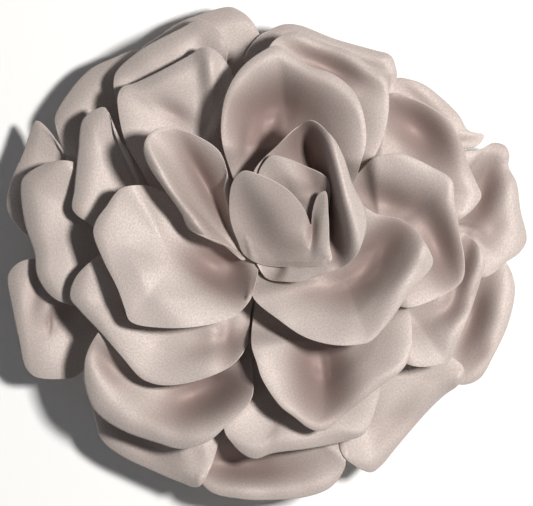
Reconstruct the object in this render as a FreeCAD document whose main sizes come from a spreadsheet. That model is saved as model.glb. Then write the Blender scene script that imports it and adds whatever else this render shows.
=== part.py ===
# Flower hair clip: a full satin rose sewn on a felt disc, which is glued to a metal alligator clip.
# Millimetres. +Z is out of the flower's face, +Y is towards its back petals, and the clip's nose
# points to -X. The origin is under the middle of the whole piece, on the table that it lies on.
import FreeCAD
import Part
import math
import os
import Sketcher

doc = FreeCAD.newDocument("flower_hair_clip")
sheet = doc.addObject("Spreadsheet::Sheet", "Sizes")

# ---------------------------------------------------------------- driving dimensions

DRAWN_WIDTH = 130.0  # flower width that the petal outlines below are drawn for

SIZES = {
    "flower_width": DRAWN_WIDTH,
    "axis_x": -1.15,  # the flower's own axis, from the origin
    "axis_y": -4.1,
    "petal_cloth": 0.5,
    "layer_pitch": 1.1,  # from a petal to the one that lies on it in the same row
    "core_radius": 3.0,
    "core_knot": 1.2,
    "rim_clearance": 0.4,  # under the lowest petal's tip
    # clip
    "clip_height": 11.5,  # table to the top of the upper arm
    "metal_sheet": 0.9,
    "nose_reach": 34.0,  # hinge side of the origin to the nose
    "tail_reach": 23.0,
    "upper_width": 10.4,
    "upper_nose_width": 7.0,
    "jaw_gap": 0.3,  # between the closed noses
    "jaw_depth": 6.6,  # upper arm's under face to the lower jaw's floor
    "nose_pad": 3.5,
    "nose_slope": 4.5,
    "lever_from": 8.0,
    "hinge_x": 3.0,
    "hinge_drop": 3.4,  # upper arm's under face to the pin's axis
    "ear_radius": 1.9,
    "ear_gap": 0.3,
    "pin_radius": 1.0,
    "pin_clearance": 0.1,
    "pin_head_radius": 1.7,
    "pin_head": 0.6,
    "tooth_height": 1.4,
    "tooth_pitch": 3.0,
    "tooth_count": 7.0,
    "tooth_from": 24.5,
    "tooth_side": 0.9,
    # spring
    "spring_wire": 0.7,
    "spring_radius": 1.85,
    "spring_pitch": 0.8,
    "spring_turns": 4.0,
    "spring_leg": 13.0,
    # backing
    "felt_radius": 23.0,
    "felt_sheet": 1.6,
    "glue_radius": 15.0,
    "glue_depth": 1.8,
    "strap_from": 21.0,
    "strap_length": 13.0,
    "strap_wing": 4.5,
    "strap_sheet": 1.0,
}

# Each row of petals is cut from a shallow bowl or dome about the flower's axis. Its section is an
# arc through three places: distance from the axis, and height above the glue pad.
ROWS = {
    "outer": {"middle_at": 38.0, "rim_at": 68.5, "root_lift": 0.7, "middle_lift": -2.3},
    "low": {"middle_at": 34.0, "rim_at": 65.0, "root_lift": 4.3, "middle_lift": 3.5, "rim_lift": -7.0},
    "mid": {"middle_at": 30.0, "rim_at": 63.0, "root_lift": 6.7, "middle_lift": 7.7, "rim_lift": 1.9},
    "top": {"middle_at": 26.0, "rim_at": 59.0, "root_lift": 9.1, "middle_lift": 11.9, "rim_lift": 12.9},
    "heart": {"middle_at": 22.0, "rim_at": 45.0, "root_lift": 11.5, "middle_lift": 15.9, "rim_lift": 21.4},
    "bud": {"middle_at": 14.0, "rim_at": 31.0, "root_lift": 13.9, "middle_lift": 19.3, "rim_lift": 28.6},
}

# Petals: row, layer in the row (0 is the lowest), and the rim, anticlockwise, from the flower's axis.
PETALS = {
    "outer_petal_back_left": ("outer", 0, [
        (-1, 46), (-0.5, 58.5), (-4, 64), (-8, 66), (-14, 64.5), (-21, 62), (-26, 58.5), (-31, 54),
        (-26, 42)]),
    "outer_petal_back": ("outer", 1, [
        (26, 36), (33.5, 47), (32.5, 53.5), (27, 55.5), (18, 58), (9.5, 61.5), (3, 60.5), (-2.5, 57),
        (-3, 44)]),
    "outer_petal_back_right": ("outer", 0, [
        (44, 24), (51, 30), (55.5, 32), (55, 34.5), (51.5, 36), (48, 40.5), (44, 44), (40, 46.8),
        (34, 48), (28, 38)]),
    "outer_petal_right_back": ("outer", 1, [
        (48, 0), (61, 1.5), (66.5, 7), (65.5, 14), (64, 22), (62, 26.5), (61, 31), (58, 32),
        (52, 29.5), (42, 22)]),
    "outer_petal_right": ("outer", 0, [
        (36, -16), (49.5, -28.5), (54.5, -28), (58.5, -21.5), (62, -13), (63.8, -5), (61.5, 2),
        (56, 5.5), (50, 9), (40, 7)]),
    "outer_petal_right_front": ("outer", 1, [
        (18, -36), (21, -47.5), (25, -50.5), (29, -50.5), (34.5, -44), (42, -35.5), (49.5, -29),
        (50.5, -25), (46, -20), (36, -14)]),
    "outer_petal_front": ("outer", 0, [
        (-16, -34), (-19.5, -45), (-17, -51), (-13, -56), (-5, -57.5), (5, -57.8), (13, -56.5),
        (18, -54), (21, -48), (18, -36)]),
    "outer_petal_front_left": ("outer", 2, [
        (-34, -24), (-42, -34), (-41, -42), (-36, -46.5), (-28, -50.5), (-20.5, -53.5),
        (-15.5, -54.5), (-12, -42)]),
    "outer_petal_left_front": ("outer", 1, [
        (-46, 1), (-60, 2), (-64, -1.5), (-63, -9), (-61, -18), (-59, -25), (-55, -27.5),
        (-50, -27.5), (-44, -25), (-36, -16)]),
    "outer_petal_left": ("outer", 0, [
        (-42, 24), (-49, 28), (-54, 35), (-57, 37), (-60, 29.5), (-63, 22.5), (-64, 16),
        (-61.5, 10), (-56, 6), (-44, 4)]),
    "outer_petal_left_back": ("outer", 1, [
        (-30, 52), (-38, 53), (-43, 50.5), (-48, 45.5), (-52, 38.5), (-52, 35), (-48, 28),
        (-40, 24)]),
    "low_petal_back_left": ("low", 1, [
        (-7, 40), (-8, 52), (-8.5, 57), (-12, 61), (-15.5, 62.5), (-22, 59.5), (-30.5, 55),
        (-36, 50), (-37, 44), (-32, 34)]),
    "low_petal_left": ("low", 0, [
        (-42, 26), (-49, 27), (-56, 26), (-60, 22.5), (-60, 14), (-57.5, 5), (-56, -1.5),
        (-53, -6.5), (-48, -9), (-40, -7)]),
    "low_petal_front_left": ("low", 1, [
        (-32, -10), (-41, -16), (-44.5, -24), (-43.5, -32), (-38, -38.5), (-29, -42.5),
        (-20, -44.8), (-13, -43), (-6, -36.5), (-2, -31), (-2, -22)]),
    "low_petal_front": ("low", 0, [
        (-5, -28), (-9, -40), (-4, -46.5), (-1, -47.3), (5, -45.5), (14, -44.5), (25.5, -41),
        (28.5, -35), (29.5, -28), (26, -20)]),
    "mid_petal_back": ("mid", 1, [
        (22, 26), (29, 30), (32, 42), (31, 48), (26, 51.5), (20, 55.5), (14, 57.5), (8.5, 59.5),
        (4, 58), (1, 54), (0, 44)]),
    "mid_petal_back_left": ("mid", 1, [
        (-8, 30), (-8, 42), (-8, 49), (-12.5, 55.5), (-18, 53.5), (-26, 49.5), (-35, 45.5),
        (-36.5, 41), (-34.5, 32), (-28, 22)]),
    "mid_petal_left": ("mid", 0, [
        (-30, 27), (-37, 34), (-39.5, 40.5), (-45, 38), (-46.5, 28), (-47.5, 15), (-43, 11),
        (-36, 8)]),
    "mid_petal_front_left": ("mid", 1, [
        (-36, 4), (-43, 2), (-47, -3), (-48, -7), (-41, -15.5), (-35.5, -21.5), (-30.5, -27),
        (-24, -29), (-16.5, -28), (-7.5, -24), (-4, -19), (-3, -13)]),
    "mid_petal_front": ("mid", 1, [
        (-2.2, -13), (-2.5, -20), (0, -27.5), (4.5, -34), (9, -38), (14, -40.5), (18, -38.5),
        (27, -31), (36, -24), (37.5, -17.5), (36.5, -10)]),
    "mid_petal_right": ("mid", 0, [
        (28, -18), (37, -24), (44, -24), (47, -23), (49.5, -17), (52.5, -10), (55, -2),
        (55.8, 2), (54, 6), (50, 9), (40, 8)]),
    "mid_petal_back_right": ("mid", 0, [
        (42, 10), (50, 13), (54.5, 17.5), (52.5, 25), (50, 32), (46, 37.5), (41, 41), (36, 43),
        (31, 43.5), (26, 34)]),
    "top_petal_right": ("top", 0, [
        (31, -8), (37, -9.5), (45, -7), (50.5, -3.5), (51, 2), (50, 10), (49, 17), (48, 22.5),
        (43, 25.5), (37, 28.5), (32, 29), (26, 26)]),
    "top_petal_back": ("top", 1, [
        (25, 24), (26.5, 33), (24, 42.5), (17, 49), (9, 52), (4, 55.5), (-2, 53), (-7, 47),
        (-10, 40), (-10, 32), (-8, 24)]),
    "top_petal_left": ("top", 1, [
        (-29, 21), (-35.5, 20), (-41, 13), (-42, 9), (-39, 2), (-36, -5), (-33, -13),
        (-24, -14.5), (-14, -14), (-6, -11.5), (-3, -6.5)]),
    "top_petal_front_right": ("top", 1, [
        (-2.2, -6.5), (4.5, -13), (12, -17.5), (19.5, -19), (27, -18), (34, -11.5), (39, -4),
        (42.5, 2), (39.5, 9), (35, 12.5), (29, 14), (24, 16)]),
    "heart_petal_left": ("heart", 0, [
        (-8, 18), (-9, 24), (-12, 31), (-19, 34.5), (-26, 35.5), (-29, 32), (-28.5, 25),
        (-24, 20), (-19, 13), (-16, 9), (-10, 6.5), (-5, 2.5)]),
    "heart_petal_right": ("heart", 1, [
        (3, -2.6), (9.5, -3), (15, -1.5), (21, 1), (25, 7), (26, 13), (22.5, 21), (20, 28.5),
        (17, 33.5), (12, 37), (8, 35), (2.5, 30), (-2, 24)]),
    "bud_petal_back": ("bud", 0, [
        (16.5, 14), (16, 22.5), (12, 25.5), (7, 27.5), (2.5, 28.5), (-0.5, 24)]),
    "bud_petal_front": ("bud", 1, [
        (5, 0.3), (10, 0.5), (17, 1.5), (16.5, 11), (10, 20), (2, 24), (-5, 24), (-8, 19),
        (-7.5, 12), (-5, 5)]),
}

BASE = "Sizes.clip_height + Sizes.felt_sheet + Sizes.glue_depth"
UNDER_FACE = "Sizes.clip_height - Sizes.metal_sheet"
JAW_FLOOR = "Sizes.clip_height - Sizes.metal_sheet - Sizes.jaw_depth"
HINGE_HEIGHT = "Sizes.clip_height - Sizes.metal_sheet - Sizes.hinge_drop"
SPREAD = "Sizes.flower_width / %g" % DRAWN_WIDTH
UPPER_HALF = "Sizes.upper_width / 2"
INNER_EAR = "Sizes.upper_width / 2 - Sizes.metal_sheet - Sizes.ear_gap"


def fill_sheet():
    cells = dict(SIZES)
    for row, places in ROWS.items():
        for place, number in places.items():
            cells["%s_%s" % (row, place)] = number
    for line, (alias, number) in enumerate(cells.items(), start=1):
        sheet.set("A%d" % line, alias)
        sheet.set("B%d" % line, str(number))
        sheet.setAlias("B%d" % line, alias)
    doc.recompute()


def value(expression):
    return float(sheet.evalExpression(expression))


# ---------------------------------------------------------------- modelling helpers


def new_body(name):
    body = doc.addObject("PartDesign::Body", name)
    body.Label = name
    return body


def new_sketch(body, name, role):
    """A sketch on one of the body's own origin planes."""
    sketch = body.newObject("Sketcher::SketchObject", name)
    plane = [item for item in body.Origin.OriginFeatures if item.Role == role][0]
    sketch.AttachmentSupport = [(plane, "")]
    sketch.MapMode = "FlatFace"
    return sketch


def pin(sketch, geometry, point, x_size, y_size):
    """Hold one point of a sketch at two sizes from the sheet."""
    for kind, size in (("DistanceX", x_size), ("DistanceY", y_size)):
        index = sketch.addConstraint(Sketcher.Constraint(kind, -1, 1, geometry, point, value(size)))
        sketch.setExpression("Constraints[%d]" % index, size)


def add_polygon(sketch, corners):
    """Straight-sided closed outline, each corner at two sizes from the sheet."""
    places = [FreeCAD.Vector(value(x), value(y), 0) for x, y in corners]
    first = sketch.GeometryCount
    count = len(corners)
    for index in range(count):
        sketch.addGeometry(Part.LineSegment(places[index], places[(index + 1) % count]))
    for index in range(count):
        following = first + (index + 1) % count
        sketch.addConstraint(Sketcher.Constraint("Coincident", first + index, 2, following, 1))
    for index, (x_size, y_size) in enumerate(corners):
        pin(sketch, first + index, 1, x_size, y_size)


def add_circle(sketch, x_size, y_size, radius):
    centre = FreeCAD.Vector(value(x_size), value(y_size), 0)
    circle = Part.Circle(centre, FreeCAD.Vector(0, 0, 1), value(radius))
    geometry = sketch.addGeometry(circle)
    pin(sketch, geometry, 3, x_size, y_size)
    index = sketch.addConstraint(Sketcher.Constraint("Radius", geometry, value(radius)))
    sketch.setExpression("Constraints[%d]" % index, radius)


def pad(body, sketch, name, length, both_sides=False, backwards=False):
    feature = body.newObject("PartDesign::Pad", name)
    feature.Profile = sketch
    feature.SideType = "Symmetric" if both_sides else "One side"
    feature.Reversed = backwards
    feature.setExpression("Length", length)
    doc.recompute()
    return feature


def pocket(body, sketch, name, length, both_sides=False, backwards=False):
    before = body.Shape.Volume
    feature = body.newObject("PartDesign::Pocket", name)
    feature.Profile = sketch
    feature.SideType = "Symmetric" if both_sides else "One side"
    feature.Reversed = backwards
    feature.setExpression("Length", length)
    doc.recompute()
    if not body.Shape.Volume < before:
        raise RuntimeError("%s cuts nothing" % name)
    return feature


def fillet_across(body, base, name, radius, bends):
    """Round the bends of a strip: its edges along Y at the places that the bends name."""
    edges = []
    for index, edge in enumerate(base.Shape.Edges, start=1):
        start, end = edge.firstVertex().Point, edge.lastVertex().Point
        along = abs(start.y - end.y) > 1.0 and abs(start.x - end.x) < 1e-6
        if along and any(math.hypot(start.x - x, start.z - z) < 1e-3 for x, z in bends):
            edges.append("Edge%d" % index)
    feature = body.newObject("PartDesign::Fillet", name)
    feature.Base = (base, edges)
    feature.setExpression("Radius", radius)
    doc.recompute()
    return feature


# ---------------------------------------------------------------- petals


def arc_through(low, middle, high):
    """Arc of a circle through three places, as a sketcher arc that runs anticlockwise."""
    curve = Part.Arc(low, middle, high).toShape().Curve
    centre = curve.Center
    ends = [math.atan2(place.y - centre.y, place.x - centre.x) for place in (low, high)]
    circle = Part.Circle(centre, FreeCAD.Vector(0, 0, 1), curve.Radius)
    return Part.ArcOfCircle(circle, min(ends), max(ends))


def add_section_arc(sketch, places):
    """One face of a petal's section: an arc held by its two ends and a point on it."""
    vectors = [FreeCAD.Vector(value(x), value(y), 0) for x, y in places]
    geometry = sketch.addGeometry(arc_through(*vectors))
    first_x = sketch.getPoint(geometry, 1).x
    second_x = sketch.getPoint(geometry, 2).x
    root_end, rim_end = (1, 2) if first_x < second_x else (2, 1)
    pin(sketch, geometry, root_end, *places[0])
    pin(sketch, geometry, rim_end, *places[2])
    on_arc = sketch.addGeometry(Part.Point(vectors[1]), True)
    sketch.addConstraint(Sketcher.Constraint("PointOnObject", on_arc, 1, geometry))
    pin(sketch, on_arc, 1, *places[1])
    return geometry, root_end, rim_end


def petal_section(body, row, layer):
    """Section of a row's bowl in the XZ plane, at the height of one layer."""
    sketch = new_sketch(body, "section_" + body.Name, "XZ_Plane")
    lift = "%d * Sizes.layer_pitch" % layer
    heights = ["%s + Sizes.%s_%s + %s" % (BASE, row, place, lift) for place in ("root_lift", "middle_lift")]
    if "rim_lift" in ROWS[row]:
        heights.append("%s + Sizes.%s_rim_lift + %s" % (BASE, row, lift))
    else:
        heights.append("Sizes.rim_clearance + %s" % lift)
    reaches = ["Sizes.core_radius"]
    reaches += ["Sizes.%s_%s * %s" % (row, place, SPREAD) for place in ("middle_at", "rim_at")]
    under = add_section_arc(sketch, list(zip(reaches, heights)))
    over_heights = ["%s + Sizes.petal_cloth" % height for height in heights]
    over = add_section_arc(sketch, list(zip(reaches, over_heights)))
    for side in (1, 2):
        low, high = sketch.getPoint(under[0], under[side]), sketch.getPoint(over[0], over[side])
        line = sketch.addGeometry(Part.LineSegment(low, high))
        sketch.addConstraint(Sketcher.Constraint("Coincident", line, 1, under[0], under[side]))
        sketch.addConstraint(Sketcher.Constraint("Coincident", line, 2, over[0], over[side]))
    return sketch


def petal_outline(body, rim):
    """Plan outline of a petal inside a wide circle, so that a pocket leaves only the petal."""
    sketch = new_sketch(body, "outline_" + body.Name, "XY_Plane")
    spread = value(SPREAD)
    root = value("Sizes.core_radius / 2")
    places = [FreeCAD.Vector(x * spread, y * spread, 0) for x, y in rim]
    rim_curve = Part.BSplineCurve()
    rim_curve.interpolate(places)
    roots = [FreeCAD.Vector(place).normalize() * root for place in (places[0], places[-1])]
    sketch.addGeometry(rim_curve)
    sketch.addGeometry(Part.LineSegment(places[-1], roots[1]))
    sketch.addGeometry(Part.LineSegment(roots[1], roots[0]))
    sketch.addGeometry(Part.LineSegment(roots[0], places[0]))
    add_circle(sketch, "0", "0", "Sizes.flower_width")
    return sketch


def make_petal(name, row, layer, rim):
    body = new_body(name)
    section = petal_section(body, row, layer)
    bowl = body.newObject("PartDesign::Revolution", "bowl_" + name)
    bowl.Profile = section
    bowl.ReferenceAxis = (section, ["V_Axis"])
    bowl.Angle = 360
    doc.recompute()
    outline = petal_outline(body, rim)
    pocket(body, outline, "trim_" + name, "Sizes.flower_width", backwards=True)
    body.setExpression("Placement.Base.x", "Sizes.axis_x")
    body.setExpression("Placement.Base.y", "Sizes.axis_y")
    return body


# ---------------------------------------------------------------- backing and core


def make_disc(name, radius, depth, height):
    disc = doc.addObject("Part::Cylinder", name)
    disc.Label = name
    disc.setExpression("Radius", radius)
    disc.setExpression("Height", depth)
    disc.setExpression("Placement.Base.x", "Sizes.axis_x")
    disc.setExpression("Placement.Base.y", "Sizes.axis_y")
    disc.setExpression("Placement.Base.z", height)
    return disc


def make_core():
    """The stitched bundle of petal roots, from the glue pad to just over the innermost petal."""
    length = "Sizes.bud_root_lift + Sizes.layer_pitch + Sizes.petal_cloth + Sizes.core_knot"
    return make_disc("stitched_core", "Sizes.core_radius", length, BASE)


def make_felt_strap():
    """Felt strap over the upper arm's under face, with a wing on each side glued to the felt disc."""
    body = new_body("felt_strap")
    sketch = new_sketch(body, "strap_section", "YZ_Plane")
    inner, outer = "(%s + Sizes.ear_gap)" % UPPER_HALF, "(%s + Sizes.ear_gap + Sizes.strap_sheet)" % UPPER_HALF
    wing = "(%s + Sizes.ear_gap + Sizes.strap_wing)" % UPPER_HALF
    top, wing_under = "Sizes.clip_height", "Sizes.clip_height - Sizes.strap_sheet"
    under, low = UNDER_FACE, UNDER_FACE + " - Sizes.strap_sheet"
    right = [(outer, low), (outer, wing_under), (wing, wing_under), (wing, top), (inner, top), (inner, under)]
    left = [("-1 * " + x, z) for x, z in reversed(right)]
    add_polygon(sketch, right + left)
    pad(body, sketch, "strap_pad", "Sizes.strap_length")
    body.setExpression("Placement.Base.x", "-1 * Sizes.strap_from")
    return body


# ---------------------------------------------------------------- clip


def add_ears(body, outer_face, towards_z, name):
    """Two ears round the hinge pin, one sheet thick, each ending in a half circle about the pin."""
    radius = "Sizes.ear_radius"
    drill = new_sketch(body, name + "_hole", "XZ_Plane")
    add_circle(drill, "Sizes.hinge_x", HINGE_HEIGHT, "Sizes.pin_radius + Sizes.pin_clearance")
    plate = new_sketch(body, name + "_plate", "XZ_Plane")
    sides = ["Sizes.hinge_x - " + radius, "Sizes.hinge_x + " + radius]
    add_polygon(plate, [
        (sides[0], HINGE_HEIGHT), (sides[1], HINGE_HEIGHT), (sides[1], towards_z), (sides[0], towards_z)])
    pad(body, plate, name + "_plates", "2 * (%s)" % outer_face, both_sides=True)
    round_end = new_sketch(body, name + "_end", "XZ_Plane")
    add_circle(round_end, "Sizes.hinge_x", HINGE_HEIGHT, radius)
    pad(body, round_end, name + "_ends", "2 * (%s)" % outer_face, both_sides=True)
    between = new_sketch(body, name + "_between", "XZ_Plane")
    far_sides = ["Sizes.hinge_x - 2 * " + radius, "Sizes.hinge_x + 2 * " + radius]
    beyond = "2 * (%s) - (%s)" % (HINGE_HEIGHT, towards_z)
    add_polygon(between, [
        (far_sides[0], beyond), (far_sides[1], beyond), (far_sides[1], towards_z), (far_sides[0], towards_z)])
    pocket(body, between, name + "_gap", "2 * (%s - Sizes.metal_sheet)" % outer_face, both_sides=True)
    pocket(body, drill, name + "_drilled", "4 * (%s)" % outer_face, both_sides=True)


def make_upper_arm():
    """Flat arm under the felt: straight past the hinge and tapering to the nose, with outer ears."""
    body = new_body("upper_arm")
    plan = new_sketch(body, "upper_plan", "XY_Plane")
    half, nose_half = UPPER_HALF, "Sizes.upper_nose_width / 2"
    taper_from = "Sizes.hinge_x - 2 * Sizes.ear_radius"
    right = [("-1 * Sizes.nose_reach", nose_half), (taper_from, half), ("Sizes.tail_reach", half)]
    left = [(x, "-1 * " + y) for x, y in reversed(right)]
    add_polygon(plan, right + left)
    plan.AttachmentOffset = FreeCAD.Placement(FreeCAD.Vector(0, 0, value(UNDER_FACE)), FreeCAD.Rotation())
    plan.setExpression("AttachmentOffset.Base.z", UNDER_FACE)
    pad(body, plan, "upper_strip", "Sizes.metal_sheet")
    add_ears(body, UPPER_HALF, UNDER_FACE, "upper_ear")
    return body


def make_lower_arm():
    """Bowed jaw with teeth, inner ears at the hinge and a thumb lever that slopes to the table."""
    body = new_body("lower_arm")
    side = new_sketch(body, "lower_side", "XZ_Plane")
    nose, nose_end = "-1 * Sizes.nose_reach", "-1 * Sizes.nose_reach + Sizes.nose_pad"
    jaw_end = nose_end + " + Sizes.nose_slope"
    lip = UNDER_FACE + " - Sizes.jaw_gap"
    sheet_down = " - Sizes.metal_sheet"
    top_line = [
        (nose, lip), (nose_end, lip), (jaw_end, JAW_FLOOR), ("Sizes.lever_from", JAW_FLOOR),
        ("Sizes.tail_reach", "Sizes.metal_sheet")]
    under_line = [(x, z + sheet_down) for x, z in reversed(top_line)]
    add_polygon(side, top_line + under_line)
    strip = pad(body, side, "lower_strip", "2 * (%s)" % INNER_EAR, both_sides=True)
    bends = [(value(x), value(z)) for x, z in top_line[1:4] + under_line[1:4]]
    fillet_across(body, strip, "lower_bends", "Sizes.metal_sheet / 2", bends)
    add_ears(body, INNER_EAR, JAW_FLOOR, "lower_ear")
    tooth = new_sketch(body, "tooth", "XZ_Plane")
    root, tip = JAW_FLOOR + " - Sizes.metal_sheet / 2", JAW_FLOOR + " + Sizes.tooth_height"
    half_tooth = "Sizes.tooth_pitch / 3"
    add_polygon(tooth, [
        ("-1 * Sizes.tooth_from - " + half_tooth, root), ("-1 * Sizes.tooth_from + " + half_tooth, root),
        ("-1 * Sizes.tooth_from", tip)])
    ridge = pad(body, tooth, "tooth_ridge", "2 * (%s)" % INNER_EAR, both_sides=True)
    teeth = body.newObject("PartDesign::LinearPattern", "teeth")
    teeth.Originals = [ridge]
    teeth.Direction = ([item for item in body.Origin.OriginFeatures if item.Role == "X_Axis"][0], [""])
    teeth.setExpression("Length", "(Sizes.tooth_count - 1) * Sizes.tooth_pitch")
    teeth.setExpression("Occurrences", "Sizes.tooth_count")
    body.Tip = teeth
    doc.recompute()
    middle = new_sketch(body, "tooth_middle", "XZ_Plane")
    last = "-1 * Sizes.tooth_from + Sizes.tooth_count * Sizes.tooth_pitch"
    before_first = "-1 * Sizes.tooth_from - Sizes.tooth_pitch"
    add_polygon(middle, [(before_first, JAW_FLOOR), (last, JAW_FLOOR), (last, tip), (before_first, tip)])
    pocket(body, middle, "tooth_rows", "2 * (%s - Sizes.tooth_side)" % INNER_EAR, both_sides=True)
    return body


def make_hinge_pin():
    """Rivet through the four ears, turned about its own axis, with a head outside each outer ear."""
    body = new_body("hinge_pin")
    half_section = new_sketch(body, "pin_section", "XY_Plane")
    shank = "%s + Sizes.ear_gap / 2" % UPPER_HALF
    end = "%s + Sizes.ear_gap / 2 + Sizes.pin_head" % UPPER_HALF
    upper = [("Sizes.pin_radius", shank), ("Sizes.pin_head_radius", shank), ("Sizes.pin_head_radius", end), ("0", end)]
    lower = [(x, "-1 * (%s)" % y) for x, y in reversed(upper)]
    add_polygon(half_section, upper + lower)
    turned = body.newObject("PartDesign::Revolution", "pin_turned")
    turned.Profile = half_section
    turned.ReferenceAxis = (half_section, ["V_Axis"])
    turned.Angle = 360
    body.setExpression("Placement.Base.x", "Sizes.hinge_x")
    body.setExpression("Placement.Base.z", HINGE_HEIGHT)
    return body


def make_torsion_spring():
    """Coil round the pin, with a leg under the upper arm's tail and a leg on the lever."""
    radius, wire = value("Sizes.spring_radius"), value("Sizes.spring_wire")
    leg, reach = value("Sizes.spring_leg"), value("Sizes.hinge_drop - Sizes.spring_wire")
    floor = value("Sizes.jaw_depth - Sizes.hinge_drop - Sizes.spring_wire")
    lever_drop = value("(%s - Sizes.metal_sheet) / (Sizes.tail_reach - Sizes.lever_from)" % JAW_FLOOR)
    to_bend = value("Sizes.lever_from - Sizes.hinge_x")
    up_angle = math.asin((reach - radius) / leg)
    lever_angle = math.asin((floor - radius + lever_drop * (leg - to_bend)) / leg)
    bend_angle = math.atan((floor + wire * 0.45 - radius) / to_bend)
    down_angle = min(lever_angle, bend_angle)
    turns = value("Sizes.spring_turns")
    sweep = 2 * math.pi * turns - math.pi - down_angle - up_angle
    height = value("Sizes.spring_pitch") * sweep / (2 * math.pi)
    coil = Part.makeHelix(value("Sizes.spring_pitch"), height, radius)
    start_angle = math.pi / 2 + up_angle
    coil.rotate(FreeCAD.Vector(), FreeCAD.Vector(0, 0, 1), math.degrees(start_angle))
    coil.translate(FreeCAD.Vector(0, 0, -height / 2))
    end_angle = start_angle + sweep
    slope = value("Sizes.spring_pitch") / (2 * math.pi * radius)
    start = FreeCAD.Vector(math.cos(start_angle) * radius, math.sin(start_angle) * radius, -height / 2)
    end = FreeCAD.Vector(math.cos(end_angle) * radius, math.sin(end_angle) * radius, height / 2)
    back = FreeCAD.Vector(math.sin(start_angle), -math.cos(start_angle), -slope).normalize()
    onward = FreeCAD.Vector(-math.sin(end_angle), math.cos(end_angle), slope).normalize()
    ring = Part.Wire(Part.makeCircle(wire / 2, start, back))
    solid = Part.Wire(coil.Edges).makePipeShell([ring], True, True)
    legs = [Part.makeCylinder(wire / 2, leg, place, way) for place, way in ((start, back), (end, onward))]
    solid = solid.fuse(legs)
    spring = doc.addObject("Part::Feature", "torsion_spring")
    spring.Label = "torsion_spring"
    spring.Shape = solid
    place = FreeCAD.Vector(value("Sizes.hinge_x"), 0, value(HINGE_HEIGHT))
    upright = FreeCAD.Rotation(FreeCAD.Vector(1, 0, 0), 90)
    spring.Placement = FreeCAD.Placement(place, upright)
    return spring


# ---------------------------------------------------------------- build and write


def check(pieces):
    doc.recompute()
    for item in doc.Objects:
        if "Invalid" in item.State or "Error" in item.State:
            raise RuntimeError("%s is %s" % (item.Label, item.State))
    for piece in pieces:
        if piece.Shape.isNull() or not piece.Shape.isValid() or len(piece.Shape.Solids) != 1:
            raise RuntimeError("%s has a bad shape" % piece.Label)


def main():
    fill_sheet()
    pieces = [make_petal(name, *petal) for name, petal in PETALS.items()]
    pieces.append(make_core())
    pieces.append(make_disc("glue_pad", "Sizes.glue_radius", "Sizes.glue_depth", "Sizes.clip_height + Sizes.felt_sheet"))
    pieces.append(make_disc("felt_disc", "Sizes.felt_radius", "Sizes.felt_sheet", "Sizes.clip_height"))
    pieces.append(make_felt_strap())
    pieces.append(make_upper_arm())
    pieces.append(make_lower_arm())
    pieces.append(make_hinge_pin())
    pieces.append(make_torsion_spring())
    check(pieces)
    os.makedirs("parts", exist_ok=True)
    for piece in pieces:
        piece.Shape.exportStep("parts/%s.step" % piece.Label)


main()
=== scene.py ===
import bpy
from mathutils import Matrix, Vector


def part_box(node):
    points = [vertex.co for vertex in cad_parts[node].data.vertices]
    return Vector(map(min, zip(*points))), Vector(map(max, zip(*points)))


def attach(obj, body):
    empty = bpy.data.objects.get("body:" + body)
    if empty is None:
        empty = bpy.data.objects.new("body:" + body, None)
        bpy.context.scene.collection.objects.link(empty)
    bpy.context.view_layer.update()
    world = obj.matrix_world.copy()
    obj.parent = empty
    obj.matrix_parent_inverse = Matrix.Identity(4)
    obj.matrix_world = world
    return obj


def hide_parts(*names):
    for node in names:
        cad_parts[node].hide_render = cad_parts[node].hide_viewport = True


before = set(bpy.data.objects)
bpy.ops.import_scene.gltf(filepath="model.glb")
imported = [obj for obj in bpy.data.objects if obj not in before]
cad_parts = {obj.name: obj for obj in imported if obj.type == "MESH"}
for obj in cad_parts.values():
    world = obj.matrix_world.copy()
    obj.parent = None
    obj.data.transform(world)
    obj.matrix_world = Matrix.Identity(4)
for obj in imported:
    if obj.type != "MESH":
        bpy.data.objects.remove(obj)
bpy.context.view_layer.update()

import math

import bpy
import numpy as np
from mathutils import Matrix, Vector
from mathutils.bvhtree import BVHTree

bl_info = {
    "name": "Satin Rose Hair Clip",
    "version": (1, 0, 0),
    "blender": (4, 5, 0),
    "location": "View3D > Sidebar > Rose Clip",
    "description": "Petals, felt, stitching and finishes of a satin rose on an alligator clip",
    "category": "Object",
}

MM = 0.001
BODY = "flower"

CORE_LOW, CORE_HIGH = (Vector(corner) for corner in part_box("stitched_core"))
AXIS = (CORE_LOW + CORE_HIGH) / 2  # the flower's own axis
CORE_RADIUS = (CORE_HIGH.x - CORE_LOW.x) / 2
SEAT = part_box("glue_pad")[1][2]  # top of the glue pad, which the petal heights count from

# Rows of petals. Each lies on a shallow bowl or dome about the flower's axis, through heights above
# the glue pad at the core, at the middle and at the rim (distance from the axis, height), in mm.
ROWS = {
    "outer": ((3, 0.7), (38, -1.3), (68, -9.0)),
    "low": ((3, 4.3), (34, 3.7), (65, -3.6)),
    "mid": ((3, 6.7), (30, 7.4), (63, 1.6)),
    "top": ((3, 9.1), (26, 11.9), (59, 9.4)),
    "heart": ((3, 11.5), (22, 16.0), (45, 20.0)),
    "bud": ((3, 13.9), (14, 19.0), (31, 26.0)),
}
LAYER_PITCH = 1.1  # from a petal to the one that lies on it in the same row

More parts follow.
